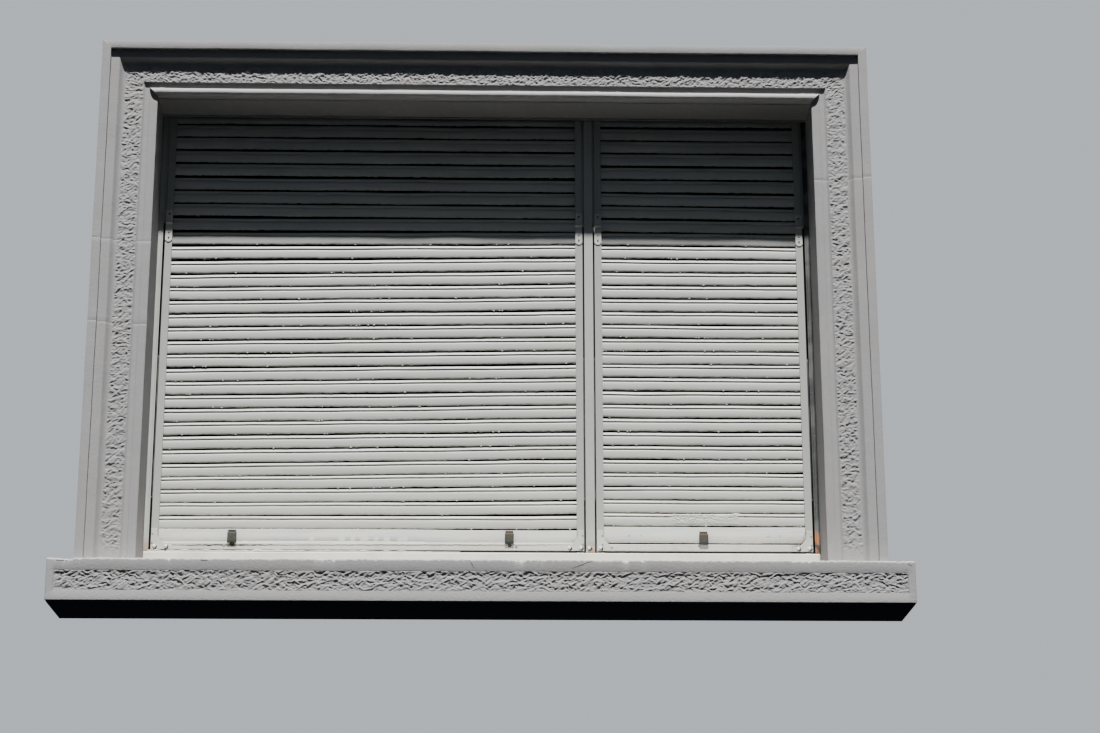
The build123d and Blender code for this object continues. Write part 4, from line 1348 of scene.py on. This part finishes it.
class SHUTTER_OT_frames(bpy.types.Operator):
    """Posts, guides, rails, threshold, stop blocks and plates with eased edges, and strips painted black as shade
    behind the gaps and under the rails.
    """

    bl_idname = "shutter.frames"
    bl_label = "Posts, guides and rails"

    def execute(self, context):
        for node in frame["nodes"]:
            finish = finish_of(node)
            if finish in ("post_paint", "shaded_post_paint", "worn_guides"):
                eased_copy(node, 0.0012, finish)
            elif finish == "rail_paint":
                eased_copy(node, 0.0018, finish)
            elif finish == "threshold_paint":
                eased_copy(node, 0.0036, finish)
            elif finish == "weathered_block":
                eased_copy(node, 0.0016, finish)
            elif node.endswith("_plates"):
                eased_copy(node, 0.0007, finish, 0.004)
        foot, top = high("threshold").z, SOFFIT + 0.02
        for node, side in (("left_side_post", -1), ("right_side_post", 1)):
            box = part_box(node)
            edge = box[1].x if side < 0 else box[0].x
            reach = edge - side * 0.0048
            lows = (min(edge, reach), box[0].y + 0.0002, foot)
            highs = (max(edge, reach), box[0].y + 0.0026, top)
            strip(f"{node}_cover", lows, highs, finish_of(node), "root", 0.0006)
        for side in BLINDS:
            start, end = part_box(f"{side}_stop_blocks")
            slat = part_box(f"{side}_bottom_slat")
            middles = [start.x + 0.014, end.x - 0.014]
            if end.x - start.x < 0.1:
                middles = middles[:1]
            for index, middle in enumerate(middles):
                lows = (middle - 0.0128, slat[0].y - 0.0007, end.z - 0.002)
                highs = (middle + 0.0122, slat[0].y + 0.0012, end.z + 0.0092)
                mark = f"{side}_block_mark_{index + 1}"
                strip(mark, lows, highs, "weathered_block", f"{side}_lower_curtain", 0.0005)
        back = low("left_side_post").y
        lows, highs = (-1.041, back - 0.0095, SOFFIT - 0.0045), (1.041, back - 0.0025, SOFFIT)
        strip("soffit_strip", lows, highs, "painted_stone", "root")
        # Black strips under the rails: painted shade in the gap above the threshold
        for side in BLINDS:
            start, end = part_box(f"{side}_bottom_rail")
            lows, highs = (start.x, start.y + 0.0014, foot + 0.0003), (end.x, start.y + 0.010, start.z - 0.0004)
            strip(f"{side}_sill_gap", lows, highs, "dark_strip", "root", 0.0004)
        # Black strips behind the gaps beside the guides: painted shade
        gaps = (
            (low("left_outer_swing_guide").x, high("left_side_post").x, -1),
            (high("left_inner_swing_guide").x, low("centre_mullion").x, 1),
            (low("right_inner_swing_guide").x, high("centre_mullion").x, -1),
            (high("right_outer_swing_guide").x, low("right_side_post").x, 1),
        )
        for index, (guide_side, post_side, side) in enumerate(gaps):
            inner = guide_side + side * min(0.0035, abs(post_side - guide_side) * 0.5 - 0.0034)
            lows = (min(inner, post_side), 0.181, foot)
            highs = (max(inner, post_side), 0.2045, top)
            strip(f"draught_strip_{index + 1}", lows, highs, "dark_strip", "root")
        return {"FINISHED"}


class SHUTTER_OT_fittings(bpy.types.Operator):
    """Bolts and screws of the plates, leaves, rails and bottom slats."""

    bl_idname = "shutter.fittings"
    bl_label = "Bolts and screws"

    def execute(self, context):
        plate_front = low("left_corner_plates").y
        leaf_front = low("left_lower_hinge_leaves").y + 0.0030
        for side in BLINDS:
            swing = f"{side}_frame"
            guides = [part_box(f"{side}_{end}_swing_guide") for end in ("outer", "inner")]
            screws, leaves, highlight_knobs, uppers, bolts, dirt_and_shadow_spots = [], [], [], [], [], []
            for start, end in guides:
                inward = 1 if start.x < 0.33 and (start.x < -0.5 or side == "right") else -1
                edge = start.x if inward > 0 else end.x
                foot = start.z
                screws += [
                    (edge + inward * 0.0052, plate_front, foot + 0.047),
                    (edge + inward * 0.0045, plate_front, foot + 0.019),
                ]
                middle = edge + inward * 0.0115
                # Leaf screws are painted black as the shade of their holes; the whitish domes between them are a
                # painted highlight
                leaves += [(middle, leaf_front, HINGE[2] - drop) for drop in (0.0345, 0.0520)]
                highlight_knobs += [(middle, leaf_front, HINGE[2] - drop) for drop in (0.0400, 0.0462)]
                uppers.append((middle, leaf_front, HINGE[2] + 0.030))
                for reach in (0.0115, 0.0465):
                    centre = edge + inward * reach
                    bolts.append((centre, plate_front, foot + 0.009))
                    # Dark spot to the lower right of each bolt: dirt round it and a painted shadow
                    dirt_and_shadow_spots.append((centre + 0.0030, plate_front - 0.0005, foot + 0.0066))
            heads(f"{side}_plate_screws", "screw", screws, swing, "hardware_paint", "rubbed_dirt", [0.85] * 4)
            heads(f"{side}_leaf_screws", "screw", leaves, swing, "hardware_paint", "dark_strip", [0.85] * 4)
            heads(f"{side}_leaf_knobs", "dome", highlight_knobs, swing, "hardware_paint", "bolt_paint_and_highlight", [0.42] * 4)
            heads(f"{side}_upper_leaf_screws", "screw", uppers, "root", "hardware_paint", "dark_strip")
            heads(
                f"{side}_bolt_domes", "dome", bolts, swing, "hardware_paint", "bolt_paint_and_highlight",
                [0.90] * 4, [f"{side}_corner_bolts"],
            )
            heads(f"{side}_bolt_dirt", "spot", dirt_and_shadow_spots, swing, "hardware_paint", "crack_dirt", [1.75] * 4)
        rail_front = low("left_bottom_rail").y
        slat_front = low("right_bottom_slat").y
        heads(
            "left_rail_screws",
            "screw",
            [(-0.795, rail_front, 0.2170), (0.102, rail_front, 0.2175)],
            "left_frame",
            "hardware_paint",
            "dull_steel",
            [1.2, 1.3],
        )
        heads(
            "right_rail_screws", "screw", [(0.666, rail_front, 0.2235)], "right_frame", "hardware_paint",
            "dull_steel", [1.2],
        )
        heads(
            "right_slat_screws",
            "sunk",
            [(x, slat_front, z) for x, z in ((0.881, 0.2554), (0.918, 0.2562), (0.45, 0.2560), (0.487, 0.2566))],
            "right_lower_curtain",
            "hardware_paint",
            "dull_steel",
            [0.9] * 4,
        )
        return {"FINISHED"}


# Wear, and painted shade and shadow


def jagged_line(name, path, width, proud, material_name, body):
    """A thin broken line through (x, y, z) points, facing the street: dirt in some places, painted shade and shadow in
    others.
    """
    points = []
    for start, end in zip(path, path[1:]):
        start, end = Vector(start), Vector(end)
        cuts = max(2, round((end - start).length / 0.004))
        points += [start.lerp(end, cut / cuts) for cut in range(cuts)]
    points.append(Vector(path[-1]))
    along = (Vector(path[-1]) - Vector(path[0])).normalized()
    across = Vector((along.z, 0.0, -along.x)).normalized()
    rings = []
    for index, point in enumerate(points):
        share = index / (len(points) - 1)
        shift = across * wander(point.x, 3.3, point.z, 0.009, 0.0016)
        taper = 0.25 + 0.75 * math.sin(math.pi * min(0.93, max(0.07, share)))
        half = across * (width / 2 * taper * (0.8 + 8e2 * wander(point.z, 1.1, point.x, 0.006, 0.0006)))
        centre = point + shift
        out = Vector((0.0, -proud, 0.0))
        into = Vector((0.0, 0.0015, 0.0))
        rings.append([centre - half + into, centre - half * 0.6 + out, centre + half * 0.6 + out, centre + half + into])
    piece = outward(mesh_piece(name, *loft(rings), material_name, body))
    return piece


def torn_top(x):
    """Upper limit of the torn place on the lowest slat, which leaves one hole open."""
    height = 0.3262 + wander(x, 6.1, 1.9, 0.02, 0.0014)
    if 0.722 < x < 0.762:
        height -= 0.0042
    if 0.770 < x < 0.800:
        height += 0.0042 * math.sin((x - 0.770) / 0.030 * math.pi)
    return height


def torn_slat(name, front, body):
    """Rough skin of torn and flaking paint over the lowest slat of the right blind."""
    start, end, foot, top, cell = 0.560, 0.818, 0.2880, 0.3330, 0.0013
    columns, rows = round((end - start) / cell), round((top - foot) / cell)
    vertices, recess = [], []
    for row in range(rows + 1):
        for column in range(columns + 1):
            x, z = start + (end - start) * column / columns, foot + (top - foot) * row / rows
            inside = min(
                (x - start - 0.012 + wander(x, z, 0.7, 0.02, 0.014)) / 0.020,
                (end - 0.012 - x + wander(z, x, 3.7, 0.02, 0.014)) / 0.020,
                (z - foot - 0.004 + wander(x, 1.7, z, 0.03, 0.004)) / 0.003,
                (torn_top(x) - z) / 0.0022,
            )
            inside = max(0.0, min(1.0, inside))
            rough = pecked(x, z, 0.25, 130.0, 300.0)
            vertices.append((x, front + 0.0036 * (1 - inside) + 0.0001 - 0.0020 * (rough - 0.48) * inside, z))
            # Painted shade at the torn edges and in the hollows of the torn paint
            recess.append(1.0 if inside <= 0.0 else 0.9 * max(0.0, 0.42 - rough))
    width = columns + 1
    faces = [
        (row * width + column, row * width + column + 1, (row + 1) * width + column + 1, (row + 1) * width + column)
        for row in range(rows)
        for column in range(columns)
    ]
    border = list(range(width))
    border += [row * width + columns for row in range(1, rows + 1)]
    border += [rows * width + column for column in range(columns - 1, -1, -1)]
    border += [row * width for row in range(rows - 1, 0, -1)]
    first = len(vertices)
    for index in border:
        x, y, z = vertices[index]
        vertices.append((x, front + 0.0052, z))
        recess.append(1.0)
    for index, here in enumerate(border):
        after = (index + 1) % len(border)
        faces.append((here, first + index, first + after, border[after]))
    faces.append(tuple(range(first, first + len(border))))
    piece = outward(mesh_piece(name, vertices, faces, "worn_slats", body, {"recess": recess}))
    return piece


def blob_blank(name):
    """A small lump of paint, a few millimetres across."""
    work = bmesh.new()
    bmesh.ops.create_icosphere(work, subdivisions=1, radius=0.001)
    for vertex in work.verts:
        vertex.co *= 1.0 + 0.35 * noise.noise(vertex.co * 1900)
        vertex.co.x *= 1.5
    mesh = bpy.data.meshes.new(name)
    work.to_mesh(mesh)
    work.free()
    mesh.polygons.foreach_set("use_smooth", [True] * len(mesh.polygons))
    blank = bpy.data.objects.new(name, mesh)
    bpy.context.scene.collection.objects.link(blank)
    return blank


def chance(index, layer):
    """A fixed value from 0 to 1 for an index."""
    return (math.sin(index * 12.9898 + layer * 78.233) * 43758.5453) % 1.0


def scatter_crumbs():
    """Crumbs of paint that hang in the slats' gaps and lie along the sill's edge."""
    for side in BLINDS:
        lips = bpy.data.objects[f"{side}_lower_slats_painted"].data
        loose = [0.0] * len(lips.vertices)
        lips.attributes["ragged"].data.foreach_get("value", loose)
        edge = [vertex.co for vertex, value in zip(lips.vertices, loose) if value > 0.99]
        chosen, sizes = [], []
        for index, place in enumerate(edge):
            cluster = noise.noise(Vector((place.x * 9, place.z * 31, 4.4)))
            if chance(index, 1.0) < 0.022 + 0.22 * max(0.0, cluster - 0.14):
                chosen.append(place + Vector((0.0, -0.0004, -0.0009)))
                sizes.append(0.9 + 1.5 * chance(index, 2.0))
        turns = [(math.tau * chance(index, 3.0), 1.2 * chance(index, 4.0) - 0.6, 0.0) for index in range(len(chosen))]
        lay_out(
            f"{side}_paint_crumbs",
            blob_blank(f"{side}_crumb"),
            chosen,
            turns,
            f"{side}_lower_curtain",
            "worn_bottom_slats",
            "slat_paint",
            sizes=sizes,
        )
    arris = [(-1.27 + 2.54 * chance(index, 5.0), index) for index in range(520)]
    kept = [(x, index) for x, index in arris if noise.noise(Vector((x * 7, 2.2, 0.3))) > -0.12]
    for name, finish, parity in (("sill_crumbs", "threshold_paint", 0), ("sill_pits", "crack_dirt", 1)):
        places, sizes = [], []
        for x, index in kept:
            if index % 2 == parity:
                down = 0.0030 * parity + 0.0060 * chance(index, 6.0) ** 2
                places.append((x, SILL_FRONT + 0.0021, 0.1262 - down))
                sizes.append(0.8 + 0.8 * chance(index, 7.0))
        turns = [(0.0, 1.4 * chance(index, 8.0) - 0.7, 0.0) for index in range(len(places))]
        lay_out(name, blob_blank(f"{name}_blank"), places, turns, "root", finish, "stone", sizes=sizes)


class SHUTTER_OT_wear(bpy.types.Operator):
    """Cracks in the sill, dirt round the corner plates, the torn slat and the bead of old paint."""

    bl_idname = "shutter.wear"
    bl_label = "Cracks and old paint"

    def execute(self, context):
        front = SILL_FRONT + 0.0006
        cracks = (
            [(-0.0385, front, 0.1225), (-0.0330, front, 0.112), (-0.0264, front, 0.099)],
            [(0.2652, front, 0.1000), (0.295, front, 0.112), (0.328, front, 0.1238)],
            [(1.2700, front, 0.1180), (1.2830, front, 0.1120)],
            [(-1.2650, front, 0.1200), (-1.2480, front, 0.1175), (-1.2320, front, 0.1195)],
            [(-0.8390, front, 0.1205), (-0.8130, front, 0.1190)],
        )
        for index, path in enumerate(cracks):
            jagged_line(f"sill_crack_{index + 1}", path, 0.0030, 0.0002, "crack_dirt", "root")
        plate = low("right_corner_plates")
        edge = high("right_outer_swing_guide").x
        path = [
            (edge - 0.0655, plate.y, plate.z + 0.0150),
            (edge - 0.0335, plate.y, plate.z + 0.0275),
            (edge - 0.0225, plate.y, plate.z + 0.0655),
        ]
        jagged_line("right_plate_dirt", path, 0.0026, 0.0002, "rusty_dirt", "right_frame")
        rail = low("left_bottom_rail").y
        # Black line painted as the shade in the gap along the left rail
        path = [(-0.953, rail, 0.2192), (-0.80, rail, 0.2198), (-0.60, rail, 0.2206)]
        jagged_line("left_rail_gap", path, 0.0062, 0.0006, "dark_strip", "left_frame")
        path = [(-0.63, rail, 0.2205), (0.08, rail, 0.2235), (0.292, rail, 0.2262)]
        jagged_line("left_rail_line", path, 0.0032, 0.0006, "brown_dirt", "left_frame")
        # Painted shadows of the stop blocks: pointed runs on the rail below them
        for index, x in enumerate((-0.770, 0.081)):
            path = [(x, rail - 0.0002, 0.2292), (x + 0.001, rail - 0.0002, 0.2160)]
            jagged_line(f"left_block_run_{index + 1}", path, 0.0230, 0.0002, "weathered_block", "left_frame")
        slat_front = low("right_lower_slats").y
        torn_slat("right_torn_slat", slat_front, "right_lower_curtain")
        scatter_crumbs()
        foot = high("threshold").z
        y = low("threshold").y + 0.0042
        count = 190
        rings = []
        for index in range(count + 1):
            x = -1.030 + 0.96 * index / count
            swell = 0.0020 + wander(x, 1.3, 0.2, 0.022, 0.0016) + wander(x, 0.2, 4.4, 0.09, 0.0010)
            swell = max(0.0008, swell * min(1.0, (count - index) / 40))
            ring = []
            for turn in range(8):
                angle = math.tau * turn / 8
                ring.append((x, y + 1.3 * swell * math.cos(angle), foot + 0.0008 + swell * (1 + math.sin(angle))))
            rings.append(ring)
        bead = outward(mesh_piece("threshold_bead", *loft(rings), "threshold_paint", "root"))
        return {"FINISHED"}


# Stage


def look_through(settings):
    """Camera axes from pitch, yaw and roll."""
    cos_p, sin_p = math.cos(settings.pitch), math.sin(settings.pitch)
    cos_y, sin_y = math.cos(settings.yaw), math.sin(settings.yaw)
    ahead = Vector((sin_y * cos_p, cos_y * cos_p, sin_p))
    right = Vector((cos_y, -sin_y, 0.0))
    up = right.cross(ahead)
    cos_r, sin_r = math.cos(settings.roll), math.sin(settings.roll)
    return cos_r * right + sin_r * up, cos_r * up - sin_r * right, ahead


def far_light(name, power, height, turned, softness):
    """A distant soft light at a height above the horizon, turned from the front to the right."""
    data = bpy.data.lights.new(name, "SUN")
    data.energy = power
    data.angle = math.radians(softness)
    data.color = (1.0, 0.995, 0.985)
    light = bpy.data.objects.new(name, data)
    across = Vector((-math.sin(turned), math.cos(turned), 0.0))
    travel = across * math.cos(height) - Vector((0.0, 0.0, math.sin(height)))
    light.rotation_euler = travel.to_track_quat("-Z", "Y").to_euler()
    bpy.context.scene.collection.objects.link(light)


class SHUTTER_OT_stage(bpy.types.Operator):
    """Camera, light and floor."""

    bl_idname = "shutter.stage"
    bl_label = "Stage"

    def execute(self, context):
        settings = context.scene.stage_look
        right, up, ahead = look_through(settings)
        camera_data = bpy.data.cameras.new("photo_view")
        camera_data.lens = settings.lens
        camera_data.sensor_width = 36.0
        camera_data.clip_end = 200.0
        camera = bpy.data.objects.new("photo_view", camera_data)
        turn = Matrix((right, up, -ahead)).transposed().to_4x4()
        camera.matrix_world = Matrix.Translation(settings.eye) @ turn
        context.scene.collection.objects.link(camera)
        context.scene.camera = camera

        far_light("key", settings.sun_power, settings.sun_height, settings.sun_turn, 1.3)
        far_light("back", settings.back_power, math.radians(38), math.radians(180), 14.0)

        world = bpy.data.worlds.new("soft_fill")
        world.use_nodes = True
        tree = world.node_tree
        glow = tree.nodes["Background"]
        toward = tree.nodes.new("ShaderNodeTexCoord").outputs["Generated"]
        rise = steps(tree, axis_of(tree, toward, 2), -0.50, 0.75)
        fill = blended(tree, rise, settings.ground_glow, settings.sky_glow)
        seen = tree.nodes.new("ShaderNodeLightPath").outputs["Is Camera Ray"]
        tree.links.new(blended(tree, seen, fill, settings.background), glow.inputs["Color"])
        context.scene.world = world

        floor_z = settings.eye[2] - settings.floor_drop
        size = settings.floor_reach
        corners = [(x * size, y * size, floor_z) for x, y in ((-1, -1), (1, -1), (1, 1), (-1, 1))]
        floor = mesh_piece("stage_floor", corners, [(0, 1, 2, 3)], "stage_floor", None)
        floor.visible_diffuse = False
        floor.visible_glossy = False
        return {"FINISHED"}


# Fittings and pieces that keep their CAD form


def paint_node(node, material_name):
    """Give a CAD node its finish."""
    for slot in frame["nodes"][node].material_slots:
        slot.material = material(material_name)


def finish_of(node):
    """Name of the finish of a CAD node."""
    if node.startswith("box_"):
        return "box_board"
    if node == "threshold":
        return "threshold_paint"
    if node == "right_side_post":
        return "shaded_post_paint"
    if node.endswith("_post") or node in ("centre_mullion", "guide_packers"):
        return "post_paint"
    if node.endswith("_rail"):
        return "rail_paint"
    if node.endswith("_guide"):
        return "worn_guides"
    if node.endswith("_plates") or node.endswith("_leaves") or node.endswith("_bolts"):
        return "plate_paint"
    if node.endswith("_bottom_slat"):
        return "worn_bottom_slats"
    if node.endswith("_slats"):
        return "worn_slats"
    if node.endswith("_stop_blocks"):
        return "weathered_block"
    if node.endswith("_barrel") or node.endswith("_barrel_end") or node.endswith("_pulley"):
        return "zinc"
    if node.startswith("surround") or node == "sill":
        return "painted_stone"
    if "_stay_" in node:
        return "stay_paint"
    return "dull_steel"


class SHUTTER_OT_plain_parts(bpy.types.Operator):
    """Finishes for the pieces that keep their CAD form."""

    bl_idname = "shutter.plain_parts"
    bl_label = "Posts, guides, box and barrels"

    def execute(self, context):
        for node in frame["nodes"]:
            paint_node(node, finish_of(node))
        for side in BLINDS:
            shortening_copy(f"{side}_hangers")
        return {"FINISHED"}


class SHUTTER_PT_panel(bpy.types.Panel):
    """Sidebar panel with every step."""

    bl_label = "Roller shutter"
    bl_idname = "SHUTTER_PT_panel"
    bl_space_type = "VIEW_3D"
    bl_region_type = "UI"
    bl_category = "Shutter"

    def draw(self, context):
        for operator in OPERATORS:
            self.layout.operator(operator.bl_idname)


OPERATORS = (
    SHUTTER_OT_stage,
    SHUTTER_OT_plain_parts,
    SHUTTER_OT_surround,
    SHUTTER_OT_sill,
    SHUTTER_OT_slats,
    SHUTTER_OT_bottom_slats,
    SHUTTER_OT_frames,
    SHUTTER_OT_fittings,
    SHUTTER_OT_wear,
)
CLASSES = (*SETTINGS.values(), *OPERATORS, SHUTTER_PT_panel)


def register():
    for kind in CLASSES:
        bpy.utils.register_class(kind)
    for name, kind in SETTINGS.items():
        setattr(bpy.types.Scene, name, PointerProperty(type=kind))


def unregister():
    for name in SETTINGS:
        delattr(bpy.types.Scene, name)
    for kind in reversed(CLASSES):
        bpy.utils.unregister_class(kind)


def main():
    register()
    for operator in OPERATORS:
        space, name = operator.bl_idname.split(".")
        getattr(getattr(bpy.ops, space), name)()


if __name__ == "__main__":
    main()
